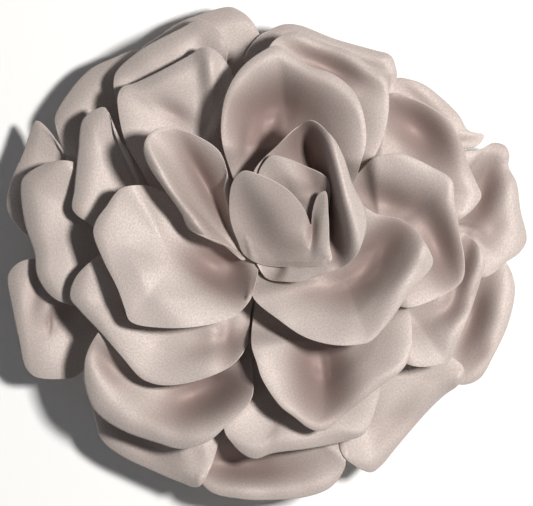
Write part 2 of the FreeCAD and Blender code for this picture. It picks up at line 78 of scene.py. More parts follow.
# Petals, from the bottom of the flower up. Each rim point is x, y from the flower's axis, then how far
# the rim stands over its row's bowl there and the radius that the edge is curled back at, all in mm.
# A pit is x, y, its two half widths, the direction of the longer one in degrees, and its depth. A
# negative depth is a raised fold. A pit also paints shade, darker and redder, into the satin's colour
# there, which stays where the laid petal no longer dips.
PETALS = {
    "outer_petal_left": {
        "row": "outer", "layer": 0, "flare": 2.0, "curl": 80, "grain": 65,
        "rim": [
            (-42, 24, 2, 0.3), (-49, 28, 3, 0.3), (-54, 35.3, 3, 1.4), (-56.8, 37.4, 3, 1.4),
            (-58.2, 34.8, 3, 1.6), (-60, 29.5, 3, 1.8), (-63, 22.5, 3, 1.8), (-64.2, 16, 3, 1.8),
            (-62.4, 12, 3, 1.5), (-58, 8, 2, 0.3), (-44, 4, 0, 0.3)],
        "pits": []},
    "outer_petal_back_left": {
        "row": "outer", "layer": 0, "flare": 3.0, "curl": 100, "grain": 25,
        "rim": [
            (-1, 46, 0, 0.3), (-0.5, 58.5, 0, 0.3), (-3, 63, 1, 1.2), (-5.5, 65, 2, 2),
            (-8, 66, 2, 2.4), (-14, 64.7, 2, 2.4), (-21, 62, 1, 2.4), (-26, 58.6, 1, 2.4),
            (-31, 54.6, 0, 2), (-30, 44, 0, 0.3)],
        "pits": []},
    "outer_petal_back_right": {
        "row": "outer", "layer": 0, "flare": 3.0, "curl": 60, "grain": -30,
        "rim": [
            (44, 24, 0, 0.3), (50.8, 30, 0, 0.3), (54.5, 31.3, 0, 0.3), (55.9, 33.8, 1, 0.4),
            (52, 34.9, 1, 1.2), (49.5, 38.8, 2, 2), (45.3, 43, 2, 2.2), (41, 46.3, 2, 2.2),
            (37, 47.8, 2, 2), (33.5, 47.9, 1, 0.8), (28, 38, 0, 0.3)],
        "pits": [(40, 42, 9, 2, -40, 1.0)]},
    "outer_petal_right": {
        "row": "outer", "layer": 0, "flare": 4.5, "curl": 70, "grain": 75,
        "rim": [
            (36, -18, 0, 0.3), (47, -27.5, 0, 0.4), (50, -29, 1, 1), (54.5, -27.6, 2, 1.6),
            (58.3, -21.5, 3, 2), (62, -13.3, 3, 2.2), (63.6, -5, 3, 2.2), (62.8, -1, 2, 1.4),
            (61.3, 1.8, 2, 0.6), (58.3, 4.3, 2, 0.4), (50.8, 10, 1, 0.3), (40, 7, 0, 0.3)],
        "pits": [
            (53, -12, 9, 3.6, 75, 4.5), (55, -21, 4, 2.5, 60, 1.0), (54, 19, 6, 3.5, 60, 2.0),
            (58, 8, 8, 5, 80, 0.8)]},
    "outer_petal_front": {
        "row": "outer", "layer": 0, "flare": 5.5, "curl": 75, "grain": 5,
        "rim": [
            (-16, -34, 0, 0.3), (-19.8, -44.5, 0, 0.3), (-16.8, -51, 1, 1), (-13, -55.8, 2, 1.8),
            (-5.5, -57.6, 3, 2.2), (2, -57.9, 3, 2.2), (12, -56.9, 3, 2.2), (17.5, -54.5, 2, 1.8),
            (20.8, -49.8, 1, 0.6), (21, -47.8, 1, 0.3), (18, -36, 0, 0.3)],
        "pits": [(-3, -49, 13, 4, 0, 4.0), (-7, -49.5, 12, 3.5, -15, 1.5)]},
    "outer_petal_back": {
        "row": "outer", "layer": 1, "flare": 2.5, "curl": 100, "grain": -20,
        "rim": [
            (26, 36, 0, 0.3), (32.5, 44, 1, 0.6), (33.9, 48, 1, 1.2), (33.6, 51, 1, 1.6),
            (32.3, 53.8, 2, 1.6), (28.3, 55.1, 2, 1.8), (18.3, 57.9, 2, 1.8), (9.5, 61.3, 2, 1.6),
            (5.8, 61.6, 2, 1.4), (2, 60.2, 1, 0.8), (-1, 58.5, 1, 0.4), (-4.5, 53, 0, 0.3),
            (-4, 44, 0, 0.3)],
        "pits": [(22, 53, 10, 1.6, -22, 0.9)]},
    "outer_petal_left_back": {
        "row": "outer", "layer": 1, "flare": 3.0, "curl": 100, "grain": 50,
        "rim": [
            (-30, 50, 0, 0.3), (-31, 55, 0, 1), (-38, 52.9, 1, 2.2), (-43, 50.5, 1, 2.6),
            (-48, 45.3, 1, 2.6), (-52, 38.5, 1, 1.6), (-51.8, 35.5, 0, 0.5), (-48.8, 27.8, 0, 0.3),
            (-42, 18, 0, 0.3)],
        "pits": []},
    "outer_petal_left_front": {
        "row": "outer", "layer": 1, "flare": 2.0, "curl": 60, "grain": 95,
        "rim": [
            (-46, -2, 2, 0.3), (-54, 2.5, 3, 0.3), (-60.5, 2, 4, 0.6), (-63.5, -0.8, 4, 1.4),
            (-63.9, -3, 4, 1.6), (-62.8, -9, 4, 1.6), (-61, -17.8, 4, 1.4), (-59.3, -24.8, 3, 1),
            (-57, -27, 3, 0.6), (-51.8, -27.6, 2, 0.3), (-46.8, -26.9, 1, 0.3), (-43, -23, 0, 0.3),
            (-36, -14, 0, 0.3)],
        "pits": [(-57, -6, 8, 2.6, 80, 1.2), (-51, -12, 7, 3, 40, 1.6), (-53.5, -13, 2.5, 0.5, 88, 0.8)]},
    "outer_petal_right_back": {
        "row": "outer", "layer": 1, "flare": 4.5, "curl": 70, "grain": 80,
        "rim": [
            (46, 0, 0, 0.3), (56, -2, 1, 0.3), (61.3, 1.8, 2, 1), (64.5, 4, 2, 1.6), (66.5, 7.3, 2, 2),
            (65, 14.8, 2, 2), (64, 21.8, 2, 2), (62, 26, 1, 2), (62.2, 29, 2, 2), (61.2, 31, 2, 2),
            (58.3, 31.8, 2, 1.6), (54.5, 30, 1, 0.4), (50.8, 29.5, 1, 0.3), (42, 22, 0, 0.3)],
        "pits": [(55, 18, 9, 3.4, 70, 4.5), (57, 9, 5, 3, 60, 1.4), (50, 38, 8, 3, -40, 1.0)]},
    "outer_petal_right_front": {
        "row": "outer", "layer": 1, "flare": 2.5, "curl": 80, "grain": 40,
        "rim": [
            (18, -36, 0, 0.3), (20, -46, 0, 0.3), (21.3, -47.8, 1, 0.5), (25, -50.3, 1, 1.4),
            (27.5, -51, 1, 1.8), (29.8, -49.5, 1, 2), (34, -44.5, 1, 2.2), (42, -35.3, 1, 2.2),
            (46, -31.5, 1, 2), (49.5, -28.8, 2, 1.6), (50.8, -25, 2, 0.8), (47.8, -22, 1, 0.3),
            (36, -14, 0, 0.3)],
        "pits": [(34, -38, 6, 3.5, 45, 1.0), (53, -12, 9, 3.0, 80, 1.5)]},
    "outer_petal_front_left": {
        "row": "outer", "layer": 2, "flare": 2.0, "curl": 85, "grain": -30,
        "rim": [
            (-34, -24, 0, 0.3), (-42.5, -33, 0, 0.5), (-41.8, -37.8, 0, 1.6), (-40.3, -42.8, 1, 2.2),
            (-35.5, -46.8, 1, 2.4), (-28, -50.4, 1, 2.4), (-20.5, -53.5, 1, 2), (-16, -54.6, 1, 1.2),
            (-13, -50, 0, 0.3), (-10, -40, 0, 0.3)],
        "pits": [(-30, -44, 9, 3, -30, 1.0)]},
    "low_petal_left": {
        "row": "low", "layer": 0, "flare": 3.0, "curl": 95, "grain": 78,
        "rim": [
            (-42, 24, 1, 0.3), (-49, 27.3, 3, 0.5), (-55.5, 26, 3, 1.6), (-60, 22.8, 3, 2.2),
            (-60.5, 19.8, 3, 2.2), (-59.3, 11, 3, 2.2), (-57, 4.3, 3, 2.0), (-56.3, -1.5, 3, 1.8),
            (-53, -6.5, 2, 1.4), (-49, -8.6, 2, 0.8), (-44, -9, 0, 0.3), (-34, -4, 0, 0.3)],
        "pits": []},
    "low_petal_front": {
        "row": "low", "layer": 0, "flare": 4.5, "curl": 100, "grain": -12,
        "rim": [
            (-4, -26, 0, 0.3), (-9.5, -39.8, 1, 0.3), (-7, -44, 1, 1), (-4, -46.7, 2, 1.8),
            (-1.5, -47.4, 2, 2.2), (2.5, -46.1, 2, 2.4), (12, -44.8, 2, 2.4), (20.8, -43, 2, 2),
            (25.5, -41.2, 2, 1), (28.3, -35.3, 1, 0.4), (29.5, -28, 0, 0.3), (24, -16, 0, 0.3)],
        "pits": []},
    "low_petal_back_left": {
        "row": "low", "layer": 1, "flare": 3.5, "curl": 110, "grain": 30,
        "rim": [
            (-7, 40, 0, 0.3), (-8.8, 52, 1, 0.3), (-8.5, 56, 1, 0.5), (-10, 58.5, 2, 1),
            (-12, 61, 2, 1.6), (-15.5, 62.7, 2, 2), (-20.5, 60.4, 2, 2.2), (-30.5, 55, 2, 2.2),
            (-36.3, 49.9, 1, 1.8), (-37.2, 47.3, 1, 0.6), (-36.8, 43.5, 0, 0.3), (-32, 32, 0, 0.3)],
        "pits": []},
    "low_petal_front_left": {
        "row": "low", "layer": 1, "flare": 5.5, "curl": 95, "grain": -35,
        "rim": [
            (-28, -8, 0, 0.3), (-38, -13, 1, 0.3), (-41.5, -16.5, 2, 0.5), (-44, -21.5, 2, 1.6),
            (-44.5, -25, 2, 2.2), (-44.3, -29, 2, 2.6), (-41.8, -35.3, 2, 2.8), (-35.5, -40, 2, 2.8),
            (-26.8, -43.2, 2, 2.6), (-20, -44.9, 2, 2.2), (-13.5, -43, 2, 1.2), (-9.3, -39.5, 2, 0.8),
            (-2.6, -32.3, 2, 0.5), (-2.3, -26.5, 1, 0.3), (-3, -16, 0, 0.3)],
        "pits": [(-13, -30, 11, 5, 22, 5.5), (-15, -33, 9, 4, 25, 1.6), (-38, -24, 7, 3, -50, 2.5)]},
    "mid_petal_left": {
        "row": "mid", "layer": 0, "flare": 3.0, "curl": 95, "grain": 72,
        "rim": [
            (-29, 24, 0, 0.3), (-33.8, 30.3, 1, 0.3), (-36.8, 34, 1, 0.4), (-38, 38, 1, 0.6),
            (-39.5, 40.6, 1, 1.4), (-43, 39.3, 1, 2), (-45, 37.2, 1, 2.4), (-46, 29.8, 1, 2.6),
            (-47, 20, 1, 2.4), (-47.4, 15, 1, 1.6), (-43.5, 11.6, 1, 0.4), (-36, 7, 0, 0.3)],
        "pits": [(-11, 0, 9, 5, -35, 3.0)]},
    "mid_petal_right": {
        "row": "mid", "layer": 0, "flare": 5.0, "curl": 80, "grain": 80,
        "rim": [
            (26, -18, 0, 0.3), (37.3, -24, 1, 0.3), (40.8, -24.4, 1, 0.3), (44.5, -23.8, 1, 0.4),
            (46.6, -23.2, 1, 1), (48.8, -18.3, 2, 1.6), (52.3, -10.3, 2, 1.8), (54.8, -2.3, 2, 1.8),
            (55.8, 1.3, 2, 1.4), (54.5, 5.5, 2, 1), (50.8, 9, 1, 0.4), (42, 10, 0, 0.3)],
        "pits": [(50, 0, 9, 2.4, 75, 3.5), (29, 3, 10, 6, 50, 3.0), (47, -10, 8, 3.0, 30, 1.8)]},
    "mid_petal_back_right": {
        "row": "mid", "layer": 0, "flare": 5.5, "curl": 90, "grain": -50,
        "rim": [
            (40, 8, 0, 0.3), (50.3, 13, 1, 0.8), (54.3, 17, 1, 1.6), (54.9, 18.6, 1, 1.8),
            (53.5, 22, 2, 1.8), (52, 25.3, 2, 1.8), (49.8, 31.8, 2, 1.8), (47, 37, 2, 1.8),
            (42, 40.9, 2, 1.8), (37.5, 42.9, 2, 1.8), (32, 44.1, 1, 1), (26, 36, 0, 0.3)],
        "pits": [(39, 35.5, 10, 5.5, -42, 7.0), (30, 8, 9, 6, 20, 2.0)]},
    "mid_petal_back": {
        "row": "mid", "layer": 1, "flare": 5.0, "curl": 105, "grain": -28,
        "rim": [
            (22, 24, 0, 0.3), (27.8, 28, 1, 0.3), (30.8, 34.8, 1, 0.5), (31.8, 42.3, 1, 0.8),
            (30.9, 47.8, 2, 1.2), (27, 50.9, 2, 1.6), (22, 54.5, 2, 1.6), (14.5, 57, 2, 1.6),
            (8.8, 59.5, 2, 1.4), (4.5, 58.3, 1, 0.6), (2, 56, 1, 0.4), (-1, 44, 0, 0.3)],
        "pits": [(17, 50.5, 9, 2.8, -25, 4.0)]},
    "mid_petal_back_left": {
        "row": "mid", "layer": 1, "flare": 3.0, "curl": 115, "grain": 18,
        "rim": [
            (-6, 28, 0, 0.3), (-7.5, 40, 1, 0.3), (-7.3, 48.3, 1, 0.5), (-9, 51.8, 2, 1.2),
            (-11, 54.2, 3, 1.8), (-13, 55.4, 3, 2), (-15.3, 55.4, 3, 1.8), (-17.8, 53.8, 2, 1.8),
            (-25.5, 49.6, 2, 1.8), (-32, 46.6, 1, 1.8), (-35, 45.6, 1, 1), (-36.1, 43.5, 1, 0.5),
            (-36, 39.8, 1, 0.5), (-34.3, 32.3, 1, 0.5), (-30.5, 25.3, 0, 0.3), (-26, 18, 0, 0.3)],
        "pits": [(-13, 50, 8, 2.2, 95, -2.2), (-22, 39, 5, 2.4, -30, 1.4)]},
    "mid_petal_front_left": {
        "row": "mid", "layer": 1, "flare": 3.5, "curl": 90, "grain": -25,
        "rim": [
            (-34, 5, 0, 0.3), (-40, 4, 0, 0.3), (-43, 1.8, 1, 0.8), (-46.8, -2.3, 1, 1.8),
            (-48, -7, 1, 2.4), (-45.5, -10.3, 1, 2), (-40.5, -15.5, 1, 1.2), (-35.5, -21.3, 1, 0.8),
            (-30.5, -27, 1, 0.8), (-28, -28.3, 1, 0.8), (-24.3, -29, 1, 0.8), (-16.8, -28, 1, 0.6),
            (-7.5, -24, 1, 0.5), (-3.8, -19, 0, 0.3), (-3, -12, 0, 0.3)],
        "pits": [
            (-9, -17, 4, 2.4, 80, 2.0), (-14, -19, 7, 3, 15, 1.2), (-11, 0, 9, 5, -35, 3.0),
            (-6, -18, 7, 2.5, 60, 1.6)]},
    "mid_petal_front": {
        "row": "mid", "layer": 1, "flare": 6.5, "curl": 95, "grain": 38,
        "rim": [
            (-2.2, -12, 0, 0.3), (-2.6, -19, 0, 0.4), (-1.3, -23.3, 1, 0.5), (0, -27.3, 1, 0.6),
            (4.5, -34, 2, 0.8), (8.3, -37, 2, 1), (11.5, -39.5, 2, 1.2), (14, -40.4, 2, 1.4),
            (16, -40, 2, 1.6), (22, -35.2, 2, 1.6), (29, -29.6, 2, 1.6), (35.5, -24.4, 2, 1.2),
            (37.2, -20, 1, 0.8), (37.5, -17.5, 1, 0.6), (36.8, -10.8, 0, 0.4), (32, -4, 0, 0.3)],
        "pits": [(14.5, -24.5, 8, 5.5, 95, 7.0), (27, -1, 9, 5, 40, 3.0), (17, -31, 9, 6, 60, 1.6)]},
    "top_petal_right": {
        "row": "top", "layer": 0, "flare": 5.0, "curl": 85, "grain": 70,
        "rim": [
            (28, -6, 0, 0.3), (35.8, -9.5, 1, 0.3), (43.5, -7.3, 1, 0.5), (49.3, -3.8, 1, 0.8),
            (50.5, -1.6, 1, 1.2), (50.6, 3, 1, 1.6), (49.5, 9, 1, 1.6), (48, 17.3, 2, 1.4),
            (47.3, 22.3, 2, 1), (42.3, 25.6, 1, 0.8), (36, 28.5, 1, 0.8), (32.8, 29, 1, 0.8),
            (28, 27.8, 0, 0.5), (24, 24, 0, 0.3)],
        "pits": [(32, 17, 8, 4, -25, 3.0), (19, 14, 9, 6, 30, 2.0), (44, 6.5, 9.5, 4.4, -70, 5.5)]},
    "top_petal_front_right": {
        "row": "top", "layer": 1, "flare": 6.0, "curl": 75, "grain": 30,
        "rim": [
            (-1.8, -1.5, 0, 0.3), (-2.4, -6.6, 0, 0.4), (4.5, -12.8, 1, 0.4), (11, -17, 1, 0.5),
            (18.5, -18.9, 2, 0.6), (25, -18.6, 2, 0.8), (27, -18, 2, 0.8), (32.8, -11.5, 2, 1),
            (37, -5.3, 2, 1.2), (41.5, -0.4, 2, 1.8), (42.6, 2, 2, 1.8), (41, 6, 2, 1.6),
            (38.5, 9.6, 2, 1.2), (34.8, 12.5, 2, 0.8), (28.5, 13.9, 1, 0.6), (23.8, 16.2, 1, 0.4),
            (18, 12, 0, 0.3)],
        "pits": [(29, 4, 10, 4.5, 50, 6.0), (37.5, 1, 9, 2.6, 55, -1.8), (20, -4, 9, 4, 10, 2.5)]},
    "top_petal_left": {
        "row": "top", "layer": 1, "flare": 3.0, "curl": 70, "grain": 68,
        "rim": [
            (-26, 20, 0, 0.3), (-32, 21, 1, 0.4), (-35.5, 20, 1, 0.8), (-39, 15.5, 1, 1.4),
            (-41.3, 12.3, 1, 1.6), (-42.1, 9.2, 1, 1.6), (-39.8, 2.8, 1, 1.2), (-36, -4.8, 2, 0.6),
            (-34.3, -9.5, 2, 0.5), (-32.8, -13, 2, 0.5), (-24.3, -14.6, 2, 0.5), (-14.3, -14, 2, 0.5),
            (-7, -11.8, 2, 0.5), (-3.6, -8.6, 1, 0.4), (-2.4, -6.4, 0, 0.3)],
        "pits": [(-11, -0.5, 8, 4.2, -35, 7.0), (-25, -3, 12, 8, -60, -3.0), (-8, 2, 6, 2.4, -40, 3.0)]},
    "top_petal_back": {
        "row": "top", "layer": 1, "flare": 6.0, "curl": 95, "grain": 60,
        "rim": [
            (22, 20, 0, 0.3), (24.8, 27, 1, 0.5), (26, 32.3, 1, 0.8), (25, 39.8, 2, 1.2),
            (22.5, 44.8, 2, 1.6), (18, 48.5, 2, 1.8), (11.5, 50.9, 2, 1.8), (7, 53.8, 2, 1.8),
            (3.8, 55.8, 2, 1.8), (-0.5, 54, 2, 1.6), (-5.5, 49.8, 2, 1.4), (-9, 43.5, 2, 1.2),
            (-10.2, 36, 1, 1), (-9.8, 31, 1, 0.6), (-7, 22, 0, 0.3)],
        "pits": [
            (3.3, 38.5, 10, 7, 15, 7.5), (-4, 32, 5, 1.6, 80, 1.6), (9, 23, 10, 7, 60, 3.0),
            (2, 36, 10, 4, 70, 1.6), (0, 27, 8, 3, 80, 1.8)]},
    "heart_petal_left": {
        "row": "heart", "layer": 0, "flare": 3.0, "curl": 100, "grain": 40, "root": (-5, 4),
        "rim": [
            (-8.5, 14, 0, 0.3), (-9.5, 20, 0, 0.4), (-8.8, 24, 1, 0.5), (-10, 28.5, 1, 0.5),
            (-12.3, 31, 1, 0.5), (-19.3, 34.6, 1, 0.6), (-25.5, 35.3, 1, 0.8), (-28.8, 32.6, 1, 1.2),
            (-29.3, 29.5, 1, 2.2), (-28, 25.8, 1, 2.4), (-24.3, 20.3, 1, 2.4), (-20, 14, 1, 2.4),
            (-18.3, 10.4, 1, 2.2), (-16, 8.8, 1, 1.4), (-10.5, 6.8, 0, 0.6), (-4.3, 2, 0, 0.4)],
        "pits": [
            (-15.5, 25, 9, 4, -55, 2.4), (-23, 21, 14, 2.6, -56, -4.5),
            (-14.5, 9.5, 5, 1.6, -60, -1.6), (-13, 19, 12, 2.2, -62, 3.2), (-15, 12, 12, 6, -55, 0.8)]},
    "heart_petal_right": {
        "row": "heart", "layer": 1, "flare": 4.5, "curl": 110, "grain": 75, "root": (8, 4),
        "rim": [
            (0.8, -2, 0, 0.3), (5, -3, -1, 0.4), (9.5, -3, 0, 0.4), (13.5, -1.5, 0, 0.4),
            (20.5, 0.8, 2, 1.2), (23.5, 3.5, 3, 1.8), (25, 7, 4, 2.2), (26, 11, 4, 2.6),
            (25.5, 15, 4, 2.8), (22.5, 21, 4, 2.8), (20, 28.5, 5, 2.4), (17, 33.5, 5, 1.6),
            (12.3, 37.1, 5, 0.8), (8.8, 35.5, 4, 0.6), (4, 31, 2, 0.4), (-2, 24.5, 0, 0.3),
            (-4, 12, 0, 0.3)],
        "pits": [
            (20.4, 19, 15, 2.8, -75, -5.0), (12, 29, 9, 3.4, -72, 7.5), (16.8, 14, 11, 2.4, -78, 7.0),
            (8, 30, 8, 5, 45, 3.0)]},
    "bud_petal_back": {
        "row": "bud", "layer": 0, "flare": 1.0, "curl": 60, "grain": 20, "root": (8, 18),
        "rim": [
            (15, 12, -8, 0.3), (17, 18, -3, 0.3), (16.4, 22.6, -1, 0.4), (10.8, 25.8, -1, 0.4),
            (7, 27.4, -1, 0.5), (2.5, 28.4, -1, 0.6), (0.8, 27, -2, 0.5), (-1, 23, -4, 0.3),
            (2, 14, -9, 0.3), (8, 11.5, -9, 0.3)],
        "pits": [(13, 20, 9, 3.4, -72, 2.6)]},
    "bud_petal_front": {
        "row": "bud", "layer": 1, "flare": 0.0, "curl": 60, "grain": 80, "root": (12.1, 4.5),
        "rim": [
            (9, 0.6, -5, 0.4), (15, 1, -4, 0.6), (17.4, 2.4, -3, 1.2), (16.9, 6, -1, 1.4),
            (16.6, 13.5, 1, 1.4), (15.8, 19.5, 2, 0.8), (14, 18.6, 1, 0.4), (12.6, 14.5, 0, 0.4),
            (12.2, 11, -1, 0.4), (10.6, 15, 1, 0.5), (7, 19.4, 2, 0.5), (3.3, 21.9, 2, 0.5),
            (-0.5, 23.6, 2, 0.5), (-4.8, 24.5, 1, 0.6), (-7.2, 22, -1, 0.8), (-8.1, 18, -3, 0.8),
            (-7.8, 12, -4, 0.8), (-6, 7, -5, 0.6), (-4.5, 3.8, -6, 0.4), (0, 1.2, -6, 0.4)],
        "pits": [(3, 11, 9, 8, 30, -2.5), (12.6, 9.5, 4, 1.2, 88, 2.0), (2, 12, 14, 11, 0, 0.9)]},
}


# ---------------------------------------------------------------- petal shapes

SPOKES = 168  # points round a petal's outline
RINGS = 36  # rings from a petal's middle to where its edge starts to curl
CURL_RINGS = 10
ROLL_REACH = 2.6  # how far in a rolled rim starts to bend, in its own radii
ROOT_REACH = {"outer": 4.5, "low": 4.5, "mid": 4.0, "top": 1.2}  # how near to the axis the roots come, mm
FLARE_REACH = 11.0
CELL = 0.5  # the stack's height map, mm
HALF_SPAN = 72.0
PETAL_GAP = 0.15  # air between two petals, mm
EMPTY = -1000.0  # height where a petal isn't
BARE = -100.0  # height where none is laid yet
SETTLE_PASSES = 45
RIM_PASSES = 400  # how softly the spokes' lengths are evened out round the rim
TONE_SEED = 500
SMALL_WAVES = ((26, 0.22), (15, 0.12), (9, 0.06))  # length and height, mm
PAINTED_SHADE_DEPTH = 2.0  # mm of pit depth over which the shade painted into a hollow reaches full strength


def row_height(row, reach):
    """Height of a row's bowl over the glue pad, a parabola through its three places."""
    reaches, heights = zip(*ROWS[row])
    return np.polyval(np.polyfit(reaches, heights, 2), reach)


def between(start, end, low, high, at):
    """The point that divides start to end as at divides low to high."""
    return (start * (high - at) + end * (at - low)) / (high - low)


def smooth_loop(points, count):
    """A closed smooth curve through the points, spaced evenly and more widely where it is held."""
    points = np.array(points, float)
    total = len(points)
    samples = []
    for index in range(total):
        p = [points[(index + step) % total] for step in (-1, 0, 1, 2)]
        k = [0.0]
        for before, after in zip(p, p[1:]):
            k.append(k[-1] + max(np.hypot(*(after - before)[:2]), 1e-3) ** 0.5)
        for at in np.linspace(k[1], k[2], 14, endpoint=False):
            first = [between(p[i], p[i + 1], k[i], k[i + 1], at) for i in range(3)]
            second = [between(first[i], first[i + 1], k[i], k[i + 2], at) for i in range(2)]
            samples.append(between(second[0], second[1], k[1], k[2], at))
    samples = np.array(samples + [samples[0]])
    shown = 0.3 + 0.7 * np.clip((samples[1:, -1] + samples[:-1, -1]) / 2, 0, 1)
    along = np.concatenate([[0], np.cumsum(np.hypot(*np.diff(samples[:, :2], axis=0).T) * shown)])
    at = np.linspace(0, along[-1], count, endpoint=False)
    columns = [np.interp(at, along, samples[:, column]) for column in range(samples.shape[1])]
    return np.stack(columns, axis=1)


def blurred(values, passes):
    """Values round a closed loop, softened along it."""
    for _ in range(passes):
        values = (np.roll(values, 1, axis=0) + 2 * values + np.roll(values, -1, axis=0)) / 4
    return values


def petal_outline(spec):
    """The outline as x, y, lift, curl radius, and 1 on its free rim or 0 where it is held."""
    rim = spec["rim"]
    last = len(rim) - 1
    rows = [list(point) + [0.0 if index in (0, last) else 1.0] for index, point in enumerate(rim)]
    if "root" not in spec:
        middle = np.mean(np.array(rim)[:, :2], axis=0)
        heading = math.atan2(middle[1], middle[0])
        reach = ROOT_REACH[spec["row"]]
        for turn in (0.7, -0.7):
            x = reach * math.cos(heading + turn)
            y = reach * math.sin(heading + turn)
            rows.append([x, y, 0.0, 0.3, 0.0])
    outline = smooth_loop(rows, SPOKES)
    outline[:, 3] = np.maximum(blurred(outline[:, 3], 2), 0.25)
    outline[:, 4] = np.clip(outline[:, 4], 0, 1)
    return outline


def outline_middle(plan):
    """The centroid of a closed outline."""
    x, y = plan.T
    nx, ny = np.roll(plan, -1, axis=0).T
    cross = x * ny - nx * y
    return np.array([((x + nx) * cross).sum(), ((y + ny) * cross).sum()]) / (3 * cross.sum())


def petal_points(spec, flare_scale, seed):
    """Points of a petal from its middle out, before it is laid, and the shade painted into its colour at
    each place, from the pits' depths.
    """
    outline = petal_outline(spec)
    plan, lift, radius, free = outline[:, :2], outline[:, 2], outline[:, 3], outline[:, 4]
    middle = np.array(spec["root"], float) if "root" in spec else outline_middle(plan)
    along = np.roll(plan, -1, axis=0) - np.roll(plan, 1, axis=0)
    along /= np.linalg.norm(along, axis=1)[:, None]
    outward = blurred(np.stack([along[:, 1], -along[:, 0]], axis=1), 3)
    outward /= np.linalg.norm(outward, axis=1)[:, None]
    spoke = plan - middle
    spoke_length = np.linalg.norm(spoke, axis=1)
    spoke_way = spoke / spoke_length[:, None]
    square = np.clip((spoke_way * outward).sum(axis=1), 0.45, 1)
    rolled = np.maximum(radius - 0.5, 0)
    width = np.maximum(ROLL_REACH * rolled, 1.4)
    steep = math.tan(math.radians(min(spec["curl"], 150) * 0.3))
    start = np.clip(1 - width / square / spoke_length, 0.3, 1)
    rings = []
    drops = []
    for ring in range(1, RINGS + 1):
        part = (ring / RINGS) ** 0.85
        rings.append(middle + spoke * (start * part)[:, None])
        drops.append(np.zeros(SPOKES))
    for ring in range(1, CURL_RINGS + 1):
        share = 1 - ring / CURL_RINGS if ring < CURL_RINGS - 1 else (CURL_RINGS - ring) * 0.07
        back = np.minimum(width * share / square, (1 - start) * spoke_length * share)
        rings.append(plan - spoke_way * back[:, None])
        drops.append(steep * ROLL_REACH * rolled / 2 * (1 - share) ** 2)
    rings = np.array(rings)
    drops = np.array(drops)
    flat = np.concatenate([middle[None, :], rings.reshape(-1, 2)])
    away = np.linalg.norm(flat[:, None, :] - plan[None, :, :], axis=2)
    pull = 1 / (away ** 2 + 6) ** 2
    height = row_height(spec["row"], np.linalg.norm(flat, axis=1)) + spec["layer"] * LAYER_PITCH
    height = height + (pull * lift).sum(axis=1) / pull.sum(axis=1)
    out = np.linalg.norm(rings - middle, axis=2) / spoke_length
    rise = np.clip(out / 0.6, 0, 1) ** 2 * (3 - 2 * np.clip(out / 0.6, 0, 1))
    to_rim = (1 - np.clip(out, 0, 1)) * blurred(spoke_length, RIM_PASSES)
    flare = rise * blurred(free, 6) * np.exp(-(to_rim / FLARE_REACH) ** 2)
    height[1:] += flare_scale * spec["flare"] * flare.reshape(-1)
    # Painted shade: each pit also darkens the petal's colour by how deep it presses.
    painted_shade = np.zeros(len(flat))
    for x, y, long_half, short_half, heading, depth in spec["pits"]:
        heading = math.radians(heading)
        east, north = flat[:, 0] - x, flat[:, 1] - y
        lengthwise = (east * math.cos(heading) + north * math.sin(heading)) / long_half
        crosswise = (north * math.cos(heading) - east * math.sin(heading)) / short_half
        pressed = depth * np.exp(-lengthwise ** 2 - crosswise ** 2)
        height = height - pressed
        painted_shade += np.maximum(pressed, 0)
    chance = np.random.default_rng(seed)
    for wave_length, size in SMALL_WAVES:
        heading, phase = chance.uniform(0, 2 * math.pi, 2)
        swing = flat[:, 0] * math.cos(heading) + flat[:, 1] * math.sin(heading)
        height = height + size * np.sin(2 * math.pi * swing / wave_length + phase)
    height[1:] -= drops.reshape(-1)
    return np.column_stack([flat, height]), 1 - np.exp(-painted_shade / PAINTED_SHADE_DEPTH)


def petal_faces():
    """Faces of the fan at a petal's middle and of the rings round it."""
    faces = []
    for spoke in range(SPOKES):
        after = (spoke + 1) % SPOKES
        faces.append((0, 1 + spoke, 1 + after))
    for ring in range(RINGS + CURL_RINGS - 1):
        inner, outer = 1 + ring * SPOKES, 1 + (ring + 1) * SPOKES
        for spoke in range(SPOKES):
            after = (spoke + 1) % SPOKES
            faces.append((inner + spoke, outer + spoke, outer + after, inner + after))
    return faces


def spread(field, reach, best):
    """The largest or the mean of each place and those within reach of it, on a map."""
    for axis in (0, 1):
        shifted = [np.roll(field, step, axis=axis) for step in range(-reach, reach + 1)]
        field = np.max(shifted, axis=0) if best else np.mean(shifted, axis=0)
    return field


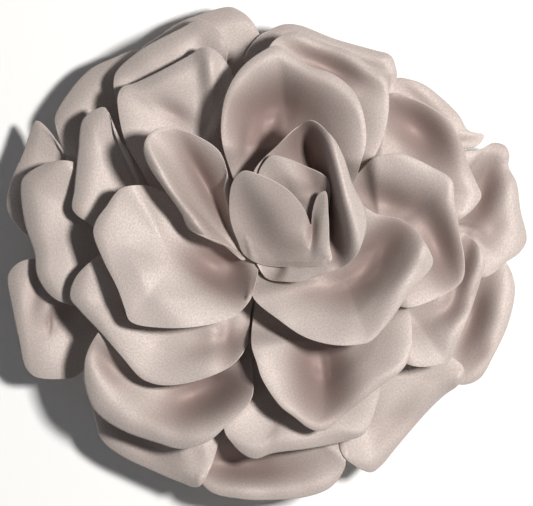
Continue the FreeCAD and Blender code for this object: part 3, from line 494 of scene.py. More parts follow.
class Stack:
    """The height that the petals laid so far come to, over a map of the flower."""

    def __init__(self):
        self.steps = int(2 * HALF_SPAN / CELL) + 1
        self.height = np.full((self.steps, self.steps), BARE)

    def seen_from_above(self, points, faces):
        """A petal's height over the map, very low where the petal isn't."""
        tree = BVHTree.FromPolygons([tuple(point) for point in points], faces)
        low = np.floor((points[:, :2].min(axis=0) + HALF_SPAN) / CELL).astype(int)
        high = np.ceil((points[:, :2].max(axis=0) + HALF_SPAN) / CELL).astype(int)
        down = Vector((0, 0, -1))
        seen = np.full((self.steps, self.steps), EMPTY)
        for row in range(max(low[1], 0), min(high[1] + 1, self.steps)):
            for column in range(max(low[0], 0), min(high[0] + 1, self.steps)):
                above = Vector((column * CELL - HALF_SPAN, row * CELL - HALF_SPAN, 200))
                hit = tree.ray_cast(above, down)[0]
                if hit is not None:
                    seen[row, column] = hit.z
        return seen

    def settle(self, points, faces, gap):
        """Lays a petal on those below it, lifted in a soft wave round each place that would touch."""
        own = self.seen_from_above(points, faces)
        on_both = (own > EMPTY / 2) & (self.height > BARE / 2)
        need = np.where(on_both, np.maximum(self.height + gap - own, 0), 0.0)
        need = spread(need, 2, True)
        lift = need
        for _ in range(SETTLE_PASSES):
            lift = np.maximum(need, spread(lift, 2, False))
        lift = np.maximum(spread(spread(lift, 2, False), 2, False), need)
        across = (points[:, 0] + HALF_SPAN) / CELL
        up = (points[:, 1] + HALF_SPAN) / CELL
        column, row = np.floor(across).astype(int), np.floor(up).astype(int)
        right, top = across - column, up - row
        low = lift[row, column] * (1 - right) + lift[row, column + 1] * right
        high = lift[row + 1, column] * (1 - right) + lift[row + 1, column + 1] * right
        points[:, 2] += low * (1 - top) + high * top
        laid = np.where(own > EMPTY / 2, own + lift, EMPTY)
        self.height = np.maximum(self.height, laid)
        return points


STACK = Stack()


def mesh_area(points, faces):
    """Area of a petal's middle surface, in square mm, and of its plan."""
    total = 0.0
    flat = 0.0
    corners = np.array([face if len(face) == 4 else face + face[-1:] for face in faces])
    a, b, c, d = (points[corners[:, index]] for index in range(4))
    for first, second, third in ((a, b, c), (a, c, d)):
        cross = np.cross(second - first, third - first)
        total += np.linalg.norm(cross, axis=1).sum() / 2
        flat += np.abs(cross[:, 2]).sum() / 2
    return total, flat


def add_object(name, points, faces, material):
    """A smooth mesh object whose place is in its mesh."""
    mesh = bpy.data.meshes.new(name)
    mesh.from_pydata([tuple(point) for point in points], [], faces)
    mesh.update()
    mesh.polygons.foreach_set("use_smooth", [True] * len(mesh.polygons))
    piece = bpy.data.objects.new(name, mesh)
    bpy.context.collection.objects.link(piece)
    mesh.materials.append(material)
    return piece


def add_cloth_map(mesh, plan, grain):
    """A UV map in metres of cloth, with its threads turned to the grain."""
    turn = math.radians(grain)
    u = (plan[:, 0] * math.cos(turn) + plan[:, 1] * math.sin(turn)) * MM
    v = (plan[:, 1] * math.cos(turn) - plan[:, 0] * math.sin(turn)) * MM
    corner = np.empty(len(mesh.loops), int)
    mesh.loops.foreach_get("vertex_index", corner)
    layer = mesh.uv_layers.new(name="cloth")
    layer.data.foreach_set("uv", np.column_stack([u[corner], v[corner]]).astype(np.float32).reshape(-1))


def add_point_value(mesh, name, values):
    """A number at each point of a mesh, for its material to read."""
    layer = mesh.attributes.new(name, "FLOAT", "POINT")
    layer.data.foreach_set("value", np.asarray(values, np.float32))


def make_petal(name, settings, material):
    """One satin petal, curled at its rim and laid on the petals below it."""
    spec = PETALS[name]
    order = list(PETALS).index(name)
    faces = petal_faces()
    points, painted_shade = petal_points(spec, settings.flare, settings.seed + order)
    gap = settings.thickness / MM + PETAL_GAP
    points = STACK.settle(points, faces, gap)
    area, flat_area = mesh_area(points, faces)
    placed = points * MM + np.array([AXIS.x, AXIS.y, SEAT])
    piece = add_object(name + "_satin", placed, faces, material)
    add_cloth_map(piece.data, points[:, :2], spec["grain"])
    edge = np.zeros(len(points))
    edge[-SPOKES:] = 1.0
    add_point_value(piece.data, "edge", edge)
    # The painted shade of the pits, for the satin's base colour.
    add_point_value(piece.data, "painted_shade", painted_shade)
    chance = np.random.default_rng(settings.seed + TONE_SEED + order)
    add_point_value(piece.data, "tone", np.full(len(points), chance.uniform(0, 1)))
    wall = piece.modifiers.new("Cloth thickness", "SOLIDIFY")
    wall.thickness = settings.thickness
    wall.offset = 0.0
    middle = np.mean(np.array(spec["rim"])[:, :2], axis=0)
    way = middle / np.linalg.norm(middle)
    stretch = math.sqrt(area / flat_area) * MM
    spans = [np.ptp(points[:, :2] @ side) * stretch for side in ((-way[1], way[0]), way)]
    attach(piece, BODY)
    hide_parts(name)
    return piece


# ---------------------------------------------------------------- materials


class Wire:
    """A shader value that adds Math nodes when it is used in an expression."""

    def __init__(self, finish, socket):
        self.finish = finish
        self.socket = socket

    def math(self, operation, first, second):
        return self.finish.node("ShaderNodeMath", {"operation": operation}, {0: first, 1: second})

    def __add__(self, other):
        return self.math("ADD", self, other)

    def __mul__(self, other):
        return self.math("MULTIPLY", self, other)


class Finish:
    """A procedural material whose constants sit on its own shader."""

    def __init__(self, name, **constants):
        self.material = bpy.data.materials.new(name)
        self.material.use_nodes = True
        self.tree = self.material.node_tree
        self.shader = self.tree.nodes["Principled BSDF"]
        for socket, value in constants.items():
            self.shader.inputs[socket.replace("_", " ").title().replace("Ior", "IOR")].default_value = value

    def node(self, kind, settings=None, inputs=None, output=0):
        """Any node: its settings first, then the values or wires of its sockets."""
        node = self.tree.nodes.new(kind)
        for key, value in (settings or {}).items():
            setattr(node, key, value)
        for key, value in (inputs or {}).items():
            self.put(node.inputs[key], value)
        return Wire(self, node.outputs[output])

    def put(self, socket, value):
        """Sets a socket, or wires it."""
        if isinstance(value, Wire):
            self.tree.links.new(value.socket, socket)
        else:
            socket.default_value = value

    def mix(self, factor, first, second):
        """A colour between two."""
        return self.node("ShaderNodeMix", {"data_type": "RGBA"}, {0: factor, 6: first, 7: second}, 2)

    def range(self, value, low, high, to_low=0.0, to_high=1.0):
        """A value brought from one range to another."""
        return self.node("ShaderNodeMapRange", None, {0: value, 1: low, 2: high, 3: to_low, 4: to_high})

    def place(self, scale=(1, 1, 1), turn=(0, 0, 0), uv=False):
        """Places on the piece, or along its cloth, stretched and turned."""
        start = self.node("ShaderNodeUVMap", {"uv_map": "cloth"}) if uv else self.node(
            "ShaderNodeTexCoord", None, None, "Object")
        return self.node("ShaderNodeMapping", None, {"Vector": start, "Scale": scale, "Rotation": turn})

    def noise(self, where, scale, detail=2.0, roughness=0.5):
        """Cloudy noise."""
        inputs = {"Vector": where, "Scale": scale, "Detail": detail, "Roughness": roughness}
        return self.node("ShaderNodeTexNoise", None, inputs)

    def attribute(self, name):
        """A number carried by the piece's own points."""
        return self.node("ShaderNodeAttribute", {"attribute_name": name}, None, "Fac")

    def bump(self, height, strength, distance, normal=None):
        """Small relief."""
        inputs = {"Height": height, "Strength": strength, "Distance": distance}
        if normal is not None:
            inputs["Normal"] = normal
        return self.node("ShaderNodeBump", None, inputs)

    def feed(self, **inputs):
        """Wires or sets the shader's own sockets."""
        for socket, value in inputs.items():
            self.put(self.shader.inputs[socket.replace("_", " ").title()], value)
        return self.material


def colour(rgb):
    """A colour with its alpha."""
    return tuple(rgb) + (1.0,)


def shade(rgb, factor):
    """A lighter or darker version of a colour."""
    return tuple(min(channel * factor, 1.0) for channel in rgb) + (1.0,)


def satin_finish(settings):
    """Matt satin ribbon: fine threads along the cloth, a soft mottle, a paler cut edge and shade painted
    darker and redder into the pits' hollows.
    """
    finish = Finish(
        "matt_satin", metallic=0.2, sheen_weight=0.15, sheen_roughness=0.4, specular_ior_level=0.4)
    finish.shader.inputs["Sheen Tint"].default_value = colour((1.0, 0.95, 0.92))
    mottle = finish.noise(finish.place(scale=(1900, 2300, 1900), uv=True), 1.0, 2.0, 0.6)
    cloud = finish.noise(finish.place(uv=True), 60.0, 2.0)
    threads = finish.noise(finish.place(scale=(350, 5200, 350), uv=True), 1.0, 1.0)
    tone = finish.attribute("tone")
    base = finish.mix(tone * 0.5 + cloud * 0.5, shade(settings.satin, 0.95), shade(settings.satin, 1.05))
    base = finish.mix(finish.range(mottle, 0.35, 0.65) * 0.7, base, shade(settings.satin, 0.74))
    # Painted shade: the pits darken and redden the base colour, so the hollows look shaded under any light.
    painted_shade_colour = [part * share for part, share in zip(settings.satin, (0.42, 0.33, 0.32))]
    base = finish.mix(finish.attribute("painted_shade") * 0.85, base, colour(painted_shade_colour))
    base = finish.mix(finish.attribute("edge") * 0.5, base, shade(settings.satin, 1.25))
    relief = finish.bump(threads, 0.25, 0.00004)
    relief = finish.bump(mottle, 0.5, 0.00009, relief)
    rough = finish.range(mottle + threads * 0.5, 0.4, 1.1, settings.gloss_low, settings.gloss_high)
    return finish.feed(base_color=base, roughness=rough, normal=relief)


def felt_finish(settings):
    """Pressed felt: matted fibres that catch light at different angles."""
    finish = Finish("pressed_felt", sheen_weight=0.4, sheen_roughness=0.6, specular_ior_level=0.2)
    fibres = finish.noise(finish.place(scale=(1, 1.6, 1)), 2600.0, 5.0, 0.7)
    clumps = finish.noise(finish.place(), 420.0, 3.0)
    base = finish.mix(fibres, shade(settings.felt, 0.7), shade(settings.felt, 1.2))
    base = finish.mix(finish.range(clumps, 0.4, 0.7) * 0.4, base, shade(settings.felt, 0.85))
    relief = finish.bump(clumps, 0.5, 0.0003)
    relief = finish.bump(fibres, 0.7, 0.00025, relief)
    return finish.feed(base_color=base, roughness=0.9, normal=relief)


def thread_finish(settings):
    """Twisted sewing thread."""
    finish = Finish("sewing_thread", sheen_weight=0.2)
    where = finish.place(turn=(0.6, 0.4, 0.8))
    twist = finish.node("ShaderNodeTexWave", None, {"Vector": where, "Scale": 900.0})
    base = finish.mix(twist, shade(settings.thread, 0.7), shade(settings.thread, 1.1))
    return finish.feed(base_color=base, roughness=0.6, normal=finish.bump(twist, 0.5, 0.0001))


def glue_finish():
    """Set hot glue: cloudy, slightly yellow and waxy."""
    finish = Finish("set_glue", transmission_weight=0.25, ior=1.48, subsurface_weight=0.3)
    finish.shader.inputs["Subsurface Radius"].default_value = (0.002, 0.0015, 0.001)
    cloud = finish.noise(finish.place(), 350.0, 4.0)
    base = finish.mix(cloud, (0.72, 0.66, 0.52, 1), (0.86, 0.82, 0.72, 1))
    relief = finish.bump(finish.noise(finish.place(), 220.0, 1.0), 0.6, 0.0006)
    return finish.feed(base_color=base, roughness=finish.range(cloud, 0.3, 0.7, 0.22, 0.4), normal=relief)


def core_finish(settings):
    """Raw gathered cloth ends."""
    finish = Finish("raw_cloth_ends", sheen_weight=0.3)
    weave = finish.noise(finish.place(scale=(3000, 3000, 400)), 1.0, 3.0, 0.6)
    base = finish.mix(weave, shade(settings.satin, 0.62), shade(settings.satin, 1.0))
    return finish.feed(base_color=base, roughness=0.7, normal=finish.bump(weave, 0.6, 0.0002))


def steel_finish(name, rgb, rough, grain):
    """Metal with a drawn or rolled grain, faint scratches and worn, duller patches."""
    finish = Finish(name, metallic=1.0)
    lines = finish.noise(finish.place(scale=grain), 1.0, 3.0, 0.6)
    wear = finish.noise(finish.place(), 260.0, 4.0, 0.6)
    scratch = finish.noise(finish.place(scale=(120, 6000, 900), turn=(0.2, 0.1, 0.5)), 1.0, 1.0)
    base = finish.mix(finish.range(wear, 0.45, 0.75) * 0.5, colour(rgb), shade(rgb, 0.72))
    gloss = finish.range(wear + scratch * 0.3, 0.4, 0.95, rough * 0.75, rough * 1.6)
    relief = finish.bump(lines, 0.25, 0.00005)
    return finish.feed(base_color=base, roughness=gloss, normal=relief)


def floor_finish(settings):
    """Plain pale table."""
    finish = Finish("pale_table", specular_ior_level=0.2)
    cloud = finish.noise(finish.place(), 30.0, 3.0)
    base = finish.mix(cloud, shade(settings.floor, 0.99), shade(settings.floor, 1.0))
    return finish.feed(base_color=base, roughness=0.8)


# ---------------------------------------------------------------- felt, stitches, core and metal


def lathe(profile, centre, count, ripple=None):
    """A closed form turned about an upright axis through the profile's (reach, height) rows, in metres."""
    points = [(centre[0], centre[1], profile[0][1])]
    for reach, height in profile:
        for step in range(count):
            turn = 2 * math.pi * step / count
            out = reach * (1 + (ripple(turn, height) if ripple else 0.0))
            points.append((centre[0] + out * math.cos(turn), centre[1] + out * math.sin(turn), height))
    points.append((centre[0], centre[1], profile[-1][1]))
    faces = []
    last = len(points) - 1
    for step in range(count):
        after = (step + 1) % count
        faces.append((0, 1 + after, 1 + step))
        for ring in range(len(profile) - 1):
            low, high = 1 + ring * count, 1 + (ring + 1) * count
            faces.append((low + step, low + after, high + after, high + step))
        top = 1 + (len(profile) - 1) * count
        faces.append((top + step, top + after, last))
    return points, faces


def soft_edge_profile(radius, low, high, inner_rings=8):
    """Profile of a disc with rounded edges, from the middle of its lower face round to its upper."""
    half = (high - low) / 2
    reaches = [radius * (ring + 0.4) / (inner_rings + 0.4) * 0.96 for ring in range(inner_rings)]
    rows = [(reach, low) for reach in reaches]
    for step in range(9):
        turn = math.pi * step / 8 - math.pi / 2
        rows.append((radius - half * 0.6 + half * 0.6 * math.cos(turn), low + half + half * math.sin(turn)))
    rows += [(reach, high) for reach in reversed(reaches)]
    return rows


def make_felt_disc(material):
    """The felt disc under the petals, cut by hand so its edge wanders slightly."""
    low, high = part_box("felt_disc")
    centre = ((low[0] + high[0]) / 2, (low[1] + high[1]) / 2)
    radius = (high[0] - low[0]) / 2 * 0.995

    def wander(turn, height):
        return 0.006 * math.sin(3 * turn + 0.6) + 0.004 * math.sin(7 * turn + 1.9) - 0.008

    points, faces = lathe(soft_edge_profile(radius, low[2], high[2]), centre, 144, wander)
    piece = add_object("felt_backing_disc", points, faces, material)
    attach(piece, BODY)
    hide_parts("felt_disc")
    return piece


def make_felt_strap(material):
    """The felt patch that holds the clip's plate to the disc, pressed down over the plate."""
    low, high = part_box("felt_strap")
    plate_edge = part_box("upper_arm")[1][1]
    across, along = 40, 20
    sheet_half = 0.0006
    points = []
    for side in (1, -1):
        for row in range(across + 1):
            y = low[1] + (high[1] - low[1]) * row / across
            over = max(0.0, 1 - max(abs(y) - plate_edge, 0.0) / 0.0025)
            sag = (1 - over * over * (3 - 2 * over)) * (high[2] - low[2] - 2 * sheet_half)
            for column in range(along + 1):
                x = low[0] + (high[0] - low[0]) * column / along
                rounding = min(min(row, across - row), min(column, along - column))
                thin = sheet_half * (0.35 if rounding == 0 else 0.85 if rounding == 1 else 1.0)
                points.append((x, y, low[2] + sheet_half + sag + side * thin))
    faces = []
    layer = (across + 1) * (along + 1)
    for row in range(across):
        for column in range(along):
            a = row * (along + 1) + column
            b, c, d = a + 1, a + along + 2, a + along + 1
            faces.append((a, b, c, d))
            faces.append((layer + a, layer + d, layer + c, layer + b))
    rim = list(range(along + 1))
    rim += [row * (along + 1) + along for row in range(1, across + 1)]
    rim += [across * (along + 1) + column for column in reversed(range(along))]
    rim += [row * (along + 1) for row in reversed(range(1, across))]
    for index, here in enumerate(rim):
        after = rim[(index + 1) % len(rim)]
        faces.append((here, layer + here, layer + after, after))
    piece = add_object("felt_clip_strap", points, faces, material)
    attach(piece, BODY)
    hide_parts("felt_strap")
    return piece


def stitch_tree(material):
    """Geometry Nodes that lay stitches along a ring, each a short rounded bar dipping into the felt."""
    tree = bpy.data.node_groups.new("Felt stitches", "GeometryNodeTree")
    given_sockets = (
        ("Geometry", "Geometry"), ("Count", "Int"), ("Ring radius", "Float"), ("Stitch length", "Float"),
        ("Thread radius", "Float"), ("Seed", "Int"))
    for label, kind in given_sockets:
        tree.interface.new_socket(label, in_out="INPUT", socket_type="NodeSocket" + kind)
    tree.interface.new_socket("Geometry", in_out="OUTPUT", socket_type="NodeSocketGeometry")

    def node(kind, settings=None, inputs=None):
        made = tree.nodes.new(kind)
        for key, value in (settings or {}).items():
            setattr(made, key, value)
        for key, value in (inputs or {}).items():
            if isinstance(value, bpy.types.NodeSocket):
                tree.links.new(value, made.inputs[key])
            else:
                made.inputs[key].default_value = value
        return made

    given = node("NodeGroupInput").outputs
    circle = node("GeometryNodeCurvePrimitiveCircle", {"mode": "RADIUS"}, {"Radius": given["Ring radius"]})
    spots = node("GeometryNodeCurveToPoints", {"mode": "COUNT"}, {
        "Curve": circle.outputs["Curve"], "Count": given["Count"]})
    half = node("ShaderNodeMath", {"operation": "MULTIPLY"}, {0: given["Stitch length"], 1: 0.5})
    back = node("ShaderNodeMath", {"operation": "MULTIPLY"}, {0: half.outputs[0], 1: -1.0})
    dip = node("ShaderNodeMath", {"operation": "MULTIPLY"}, {0: given["Thread radius"], 1: -2.6})
    start = node("ShaderNodeCombineXYZ", None, {"X": back.outputs[0]})
    end = node("ShaderNodeCombineXYZ", None, {"X": half.outputs[0]})
    middle = node("ShaderNodeCombineXYZ", None, {"Z": dip.outputs[0]})
    bow = node("GeometryNodeCurveQuadraticBezier", None, {
        "Resolution": 8, "Start": start.outputs[0], "Middle": middle.outputs[0], "End": end.outputs[0]})
    round_section = node("GeometryNodeCurvePrimitiveCircle", {"mode": "RADIUS"}, {
        "Resolution": 8, "Radius": given["Thread radius"]})
    bar = node("GeometryNodeCurveToMesh", None, {
        "Curve": bow.outputs["Curve"], "Profile Curve": round_section.outputs["Curve"], "Fill Caps": True})
    wobble = node("FunctionNodeRandomValue", {"data_type": "FLOAT_VECTOR"}, {
        0: (0.0, 0.0, -0.14), 1: (0.0, 0.0, 0.14), "Seed": given["Seed"]})
    turned = node("FunctionNodeAlignRotationToVector", {"axis": "X"}, {"Vector": spots.outputs["Tangent"]})
    turned = node("FunctionNodeRotateRotation", {"rotation_space": "LOCAL"}, {
        "Rotation": turned.outputs[0], "Rotate By": wobble.outputs[0]})
    laid = node("GeometryNodeInstanceOnPoints", None, {
        "Points": spots.outputs["Points"], "Instance": bar.outputs["Mesh"], "Rotation": turned.outputs[0]})
    real = node("GeometryNodeRealizeInstances", None, {"Geometry": laid.outputs["Instances"]})
    painted = node("GeometryNodeSetMaterial", None, {
        "Geometry": real.outputs["Geometry"], "Material": material})
    node("NodeGroupOutput", None, {"Geometry": painted.outputs["Geometry"]})
    return tree


def grow(name, tree, values):
    """A plain mesh of what a Geometry Nodes tree makes with the given values."""
    seed_object = bpy.data.objects.new(name + "_maker", bpy.data.meshes.new(name + "_maker"))
    bpy.context.collection.objects.link(seed_object)
    maker = seed_object.modifiers.new("Maker", "NODES")
    maker.node_group = tree
    sockets = {item.name: item.identifier for item in tree.interface.items_tree if item.in_out == "INPUT"}
    for label, value in values.items():
        maker[sockets[label]] = value
    bpy.context.view_layer.update()
    evaluated = seed_object.evaluated_get(bpy.context.evaluated_depsgraph_get())
    mesh = bpy.data.meshes.new_from_object(evaluated)
    bpy.data.objects.remove(seed_object)
    piece = bpy.data.objects.new(name, mesh)
    bpy.context.collection.objects.link(piece)
    return piece


def make_stitches(settings, material):
    """The running stitch round the felt disc, seen from behind."""
    low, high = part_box("felt_disc")
    tree = stitch_tree(material)
    piece = grow("felt_stitches", tree, {
        "Count": settings.stitches,
        "Ring radius": (high[0] - low[0]) / 2 - settings.seam,
        "Stitch length": settings.stitch_length,
        "Thread radius": settings.thread_size / 2,
        "Seed": 4,
    })
    piece.data.transform(Matrix.Translation(((low[0] + high[0]) / 2, (low[1] + high[1]) / 2, low[2])))
    piece.data.polygons.foreach_set("use_smooth", [True] * len(piece.data.polygons))
    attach(piece, BODY)
    return piece


def make_core(material):
    """The gathered roots in the flower's middle, pleated all round and pinched by thread."""
    low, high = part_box("stitched_core")
    centre = ((low[0] + high[0]) / 2, (low[1] + high[1]) / 2)
    height = (high[2] - low[2]) * 0.6
    profile = [(0.0004, low[2])]
    for step in range(25):
        part = step / 24
        pinch = 0.14 * math.exp(-((part - 0.2) / 0.06) ** 2)
        taper = 0.62 * min(max((part - 0.3) / 0.14, 0.0), 1.0)
        profile.append((CORE_RADIUS * (0.93 - taper - pinch), low[2] + height * (0.01 + 0.96 * part)))
    profile += [(CORE_RADIUS * 0.2, low[2] + height * 0.985), (0.0004, low[2] + height)]

    def pleats(turn, level):
        return 0.07 * math.sin(11 * turn + 90 * level) + 0.03 * math.sin(23 * turn)

    points, faces = lathe(profile, centre, 132, pleats)
    piece = add_object("gathered_core", points, faces, material)
    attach(piece, BODY)
    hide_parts("stitched_core")
    return piece


def coat_node(name, material):
    """Gives a CAD part its finish."""
    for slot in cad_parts[name].material_slots:
        slot.material = material


# ---------------------------------------------------------------- settings


class PetalSettings(bpy.types.PropertyGroup):
    satin: bpy.props.FloatVectorProperty(
        name="Satin", description="Colour of the petals' cloth", default=(0.575, 0.498, 0.463),
        size=3, subtype="COLOR", min=0, max=1)
    thickness: bpy.props.FloatProperty(
        name="Thickness", description="Thickness of the petals' cloth", default=0.00035,
        min=0.0001, max=0.002, unit="LENGTH")
    flare: bpy.props.FloatProperty(
        name="Rim flare", description="How far the rims stand up, as a share of the usual",
        default=1.15, min=0.0, max=2.0, subtype="FACTOR")
    gloss_low: bpy.props.FloatProperty(
        name="Smoothest", description="Roughness of the cloth where it shines most", default=0.56,
        min=0.0, max=1.0, subtype="FACTOR")
    gloss_high: bpy.props.FloatProperty(
        name="Roughest", description="Roughness of the cloth where it shines least", default=0.68,
        min=0.0, max=1.0, subtype="FACTOR")
    seed: bpy.props.IntProperty(
        name="Seed", description="Chooses the small waves of each petal", default=11)


class BackingSettings(bpy.types.PropertyGroup):
    felt: bpy.props.FloatVectorProperty(
        name="Felt", description="Colour of the felt", default=(0.60, 0.50, 0.44),
        size=3, subtype="COLOR", min=0, max=1)
    thread: bpy.props.FloatVectorProperty(
        name="Thread", description="Colour of the sewing thread", default=(0.68, 0.60, 0.54),
        size=3, subtype="COLOR", min=0, max=1)
    stitches: bpy.props.IntProperty(
        name="Stitches", description="Stitches round the felt disc", default=40, min=8, max=90)
    stitch_length: bpy.props.FloatProperty(
        name="Stitch length", description="Length of one stitch", default=0.0022,
        min=0.0005, max=0.006, unit="LENGTH")
    thread_size: bpy.props.FloatProperty(
        name="Thread size", description="Diameter of the thread", default=0.00045,
        min=0.0001, max=0.002, unit="LENGTH")
    seam: bpy.props.FloatProperty(
        name="Seam margin", description="From the felt's edge to the stitches", default=0.0022,
        min=0.0005, max=0.008, unit="LENGTH")


class ClipSettings(bpy.types.PropertyGroup):
    plate: bpy.props.FloatVectorProperty(
        name="Plated steel", description="Colour of the clip's arms", default=(0.75, 0.74, 0.72),
        size=3, subtype="COLOR", min=0, max=1)
    spring: bpy.props.FloatVectorProperty(
        name="Spring steel", description="Colour of the spring and pin", default=(0.55, 0.54, 0.53),
        size=3, subtype="COLOR", min=0, max=1)
    roughness: bpy.props.FloatProperty(
        name="Roughness", description="Roughness of the plated steel", default=0.26,
        min=0.0, max=1.0, subtype="FACTOR")


class StageSettings(bpy.types.PropertyGroup):
    floor: bpy.props.FloatVectorProperty(
        name="Table", description="Colour of the table", default=(0.93, 0.93, 0.93),
        size=3, subtype="COLOR", min=0, max=1)
    key: bpy.props.FloatProperty(
        name="Key light", description="Power of the light from the right", default=12.1,
        min=0.0, unit="POWER")
    fill: bpy.props.FloatProperty(
        name="Fill", description="Strength of the light all round", default=0.13, min=0.0)
    height: bpy.props.FloatProperty(
        name="Camera height", description="Height of the camera over the table", default=2.5,
        min=0.5, unit="LENGTH")
    span: bpy.props.FloatProperty(
        name="Field", description="Width that the camera sees", default=0.13325, min=0.05, unit="LENGTH")


SETTINGS = {
    "rose_petals": PetalSettings,
    "rose_backing": BackingSettings,
    "rose_clip": ClipSettings,
    "rose_stage": StageSettings,
}


# ---------------------------------------------------------------- operators

KEY_RISE = 62  # degrees over the table
KEY_TURN = 13  # degrees round from the right
KEY_WIDTH = 0.13
LIT_HEIGHT = 0.02
TABLE_HALF = 1.5
SENSOR = 36.0
PETAL_LEVEL = 0.03  # height at which the camera's field is measured


def cached(name, make):
    """The named material, made on first use."""
    return bpy.data.materials.get(name) or make()


class PetalRow:
    """What the operators for the rows of petals share."""

    row = ""

    def execute(self, context):
        settings = context.scene.rose_petals
        satin = cached("matt_satin", lambda: satin_finish(settings))
        for name, spec in PETALS.items():
            if spec["row"] == self.row:
                make_petal(name, settings, satin)
        return {"FINISHED"}


class ROSE_OT_outer_petals(PetalRow, bpy.types.Operator):
    """Lays the outermost petals"""

    bl_idname = "rose.outer_petals"
    bl_label = "Outer petals"
    row = "outer"


class ROSE_OT_low_petals(PetalRow, bpy.types.Operator):
    """Lays the row of petals over the outermost"""

    bl_idname = "rose.low_petals"
    bl_label = "Low petals"
    row = "low"


class ROSE_OT_mid_petals(PetalRow, bpy.types.Operator):
    """Lays the middle row of petals"""

    bl_idname = "rose.mid_petals"
    bl_label = "Middle petals"
    row = "mid"


class ROSE_OT_top_petals(PetalRow, bpy.types.Operator):
    """Lays the four large petals round the heart"""

    bl_idname = "rose.top_petals"
    bl_label = "Top petals"
    row = "top"


class ROSE_OT_heart_petals(PetalRow, bpy.types.Operator):
    """Wraps the two tall petals round the bud"""

    bl_idname = "rose.heart_petals"
    bl_label = "Heart petals"
    row = "heart"


class ROSE_OT_bud_petals(PetalRow, bpy.types.Operator):
    """Folds the bud's two petals"""

    bl_idname = "rose.bud_petals"
    bl_label = "Bud petals"
    row = "bud"


class ROSE_OT_core(bpy.types.Operator):
    """Gathers the petals' roots"""

    bl_idname = "rose.core"
    bl_label = "Gathered core"

    def execute(self, context):
        make_core(core_finish(context.scene.rose_petals))
        return {"FINISHED"}


class ROSE_OT_felt(bpy.types.Operator):
    """Cuts the felt disc and the strap over the clip's plate"""

    bl_idname = "rose.felt"
    bl_label = "Felt backing"

    def execute(self, context):
        settings = context.scene.rose_backing
        felt = cached("pressed_felt", lambda: felt_finish(settings))
        make_felt_disc(felt)
        make_felt_strap(felt)
        return {"FINISHED"}


class ROSE_OT_stitches(bpy.types.Operator):
    """Sews round the felt disc"""

    bl_idname = "rose.stitches"
    bl_label = "Stitches"

    def execute(self, context):
        settings = context.scene.rose_backing
        make_stitches(settings, cached("sewing_thread", lambda: thread_finish(settings)))
        return {"FINISHED"}


class ROSE_OT_glue(bpy.types.Operator):
    """Finishes the glue between the felt and the petals"""

    bl_idname = "rose.glue"
    bl_label = "Glue"

    def execute(self, context):
        coat_node("glue_pad", glue_finish())
        return {"FINISHED"}


class ROSE_OT_clip(bpy.types.Operator):
    """Finishes the clip's arms, pin and spring"""

    bl_idname = "rose.clip"
    bl_label = "Clip metal"

    def execute(self, context):
        settings = context.scene.rose_clip
        plate = steel_finish("plated_arm_steel", settings.plate, settings.roughness, (150, 2600, 2600))
        duller = settings.roughness * 1.3
        spring = steel_finish("drawn_spring_steel", settings.spring, duller, (900, 900, 900))
        for name in ("upper_arm", "lower_arm"):
            coat_node(name, plate)
        for name in ("hinge_pin", "torsion_spring"):
            coat_node(name, spring)
        return {"FINISHED"}


def add_key_light(power):
    """The square soft light on the right, a metre from the flower."""
    light = bpy.data.lights.new("key", "AREA")
    light.shape = "SQUARE"
    light.size = KEY_WIDTH
    light.energy = power
    light.color = (1.0, 0.98, 0.95)
    rise, turn = math.radians(KEY_RISE), math.radians(KEY_TURN)
    way = Vector((math.cos(rise) * math.cos(turn), math.cos(rise) * math.sin(turn), math.sin(rise)))
    lamp = bpy.data.objects.new("key", light)
    lamp.location = way + Vector((0, 0, LIT_HEIGHT))
    lamp.rotation_euler = (-way).to_track_quat("-Z", "Y").to_euler()
    bpy.context.collection.objects.link(lamp)


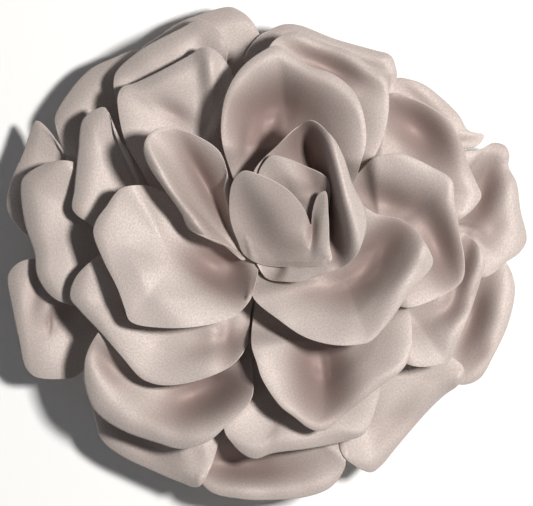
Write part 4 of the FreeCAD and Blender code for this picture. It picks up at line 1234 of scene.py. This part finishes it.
class ROSE_OT_stage(bpy.types.Operator):
    """Sets the pale table, the soft light and the camera over the flower"""

    bl_idname = "rose.stage"
    bl_label = "Stage"

    def execute(self, context):
        settings = context.scene.rose_stage
        corners = [(x * TABLE_HALF, y * TABLE_HALF, 0) for x, y in ((-1, -1), (1, -1), (1, 1), (-1, 1))]
        floor = add_object("table", corners, [(0, 1, 2, 3)], floor_finish(settings))
        add_key_light(settings.key)
        world = bpy.data.worlds.new("Soft white room")
        world.use_nodes = True
        backdrop = world.node_tree.nodes["Background"]
        backdrop.inputs["Color"].default_value = (0.93, 0.96, 1.0, 1)
        backdrop.inputs["Strength"].default_value = settings.fill
        context.scene.world = world
        lens = bpy.data.cameras.new("camera")
        lens.sensor_width = SENSOR
        lens.lens = SENSOR * (settings.height - PETAL_LEVEL) / settings.span
        lens.clip_start = 0.1
        camera = bpy.data.objects.new("camera", lens)
        camera.location = (0, 0, settings.height)
        context.collection.objects.link(camera)
        context.scene.camera = camera
        context.scene.view_settings.view_transform = "Standard"
        return {"FINISHED"}


OPERATORS = (
    ROSE_OT_outer_petals, ROSE_OT_low_petals, ROSE_OT_mid_petals, ROSE_OT_top_petals,
    ROSE_OT_heart_petals, ROSE_OT_bud_petals, ROSE_OT_core, ROSE_OT_felt, ROSE_OT_stitches,
    ROSE_OT_glue, ROSE_OT_clip, ROSE_OT_stage,
)


class ROSE_PT_panel(bpy.types.Panel):
    """The rose clip's pieces and settings"""

    bl_idname = "ROSE_PT_panel"
    bl_label = "Rose Clip"
    bl_space_type = "VIEW_3D"
    bl_region_type = "UI"
    bl_category = "Rose Clip"

    def draw(self, context):
        for name, group in SETTINGS.items():
            box = self.layout.box()
            for key in group.__annotations__:
                box.prop(getattr(context.scene, name), key)
        for operator in OPERATORS:
            self.layout.operator(operator.bl_idname)


def register():
    for group in SETTINGS.values():
        bpy.utils.register_class(group)
    for name, group in SETTINGS.items():
        setattr(bpy.types.Scene, name, bpy.props.PointerProperty(type=group))
    for operator in OPERATORS + (ROSE_PT_panel,):
        bpy.utils.register_class(operator)


def unregister():
    for operator in reversed(OPERATORS + (ROSE_PT_panel,)):
        bpy.utils.unregister_class(operator)
    for name, group in SETTINGS.items():
        delattr(bpy.types.Scene, name)
        bpy.utils.unregister_class(group)


def main():
    register()
    bpy.ops.rose.stage()
    bpy.ops.rose.clip()
    bpy.ops.rose.glue()
    bpy.ops.rose.felt()
    bpy.ops.rose.stitches()
    bpy.ops.rose.core()
    bpy.ops.rose.outer_petals()
    bpy.ops.rose.low_petals()
    bpy.ops.rose.mid_petals()
    bpy.ops.rose.top_petals()
    bpy.ops.rose.heart_petals()
    bpy.ops.rose.bud_petals()


if __name__ == "__main__":
    main()
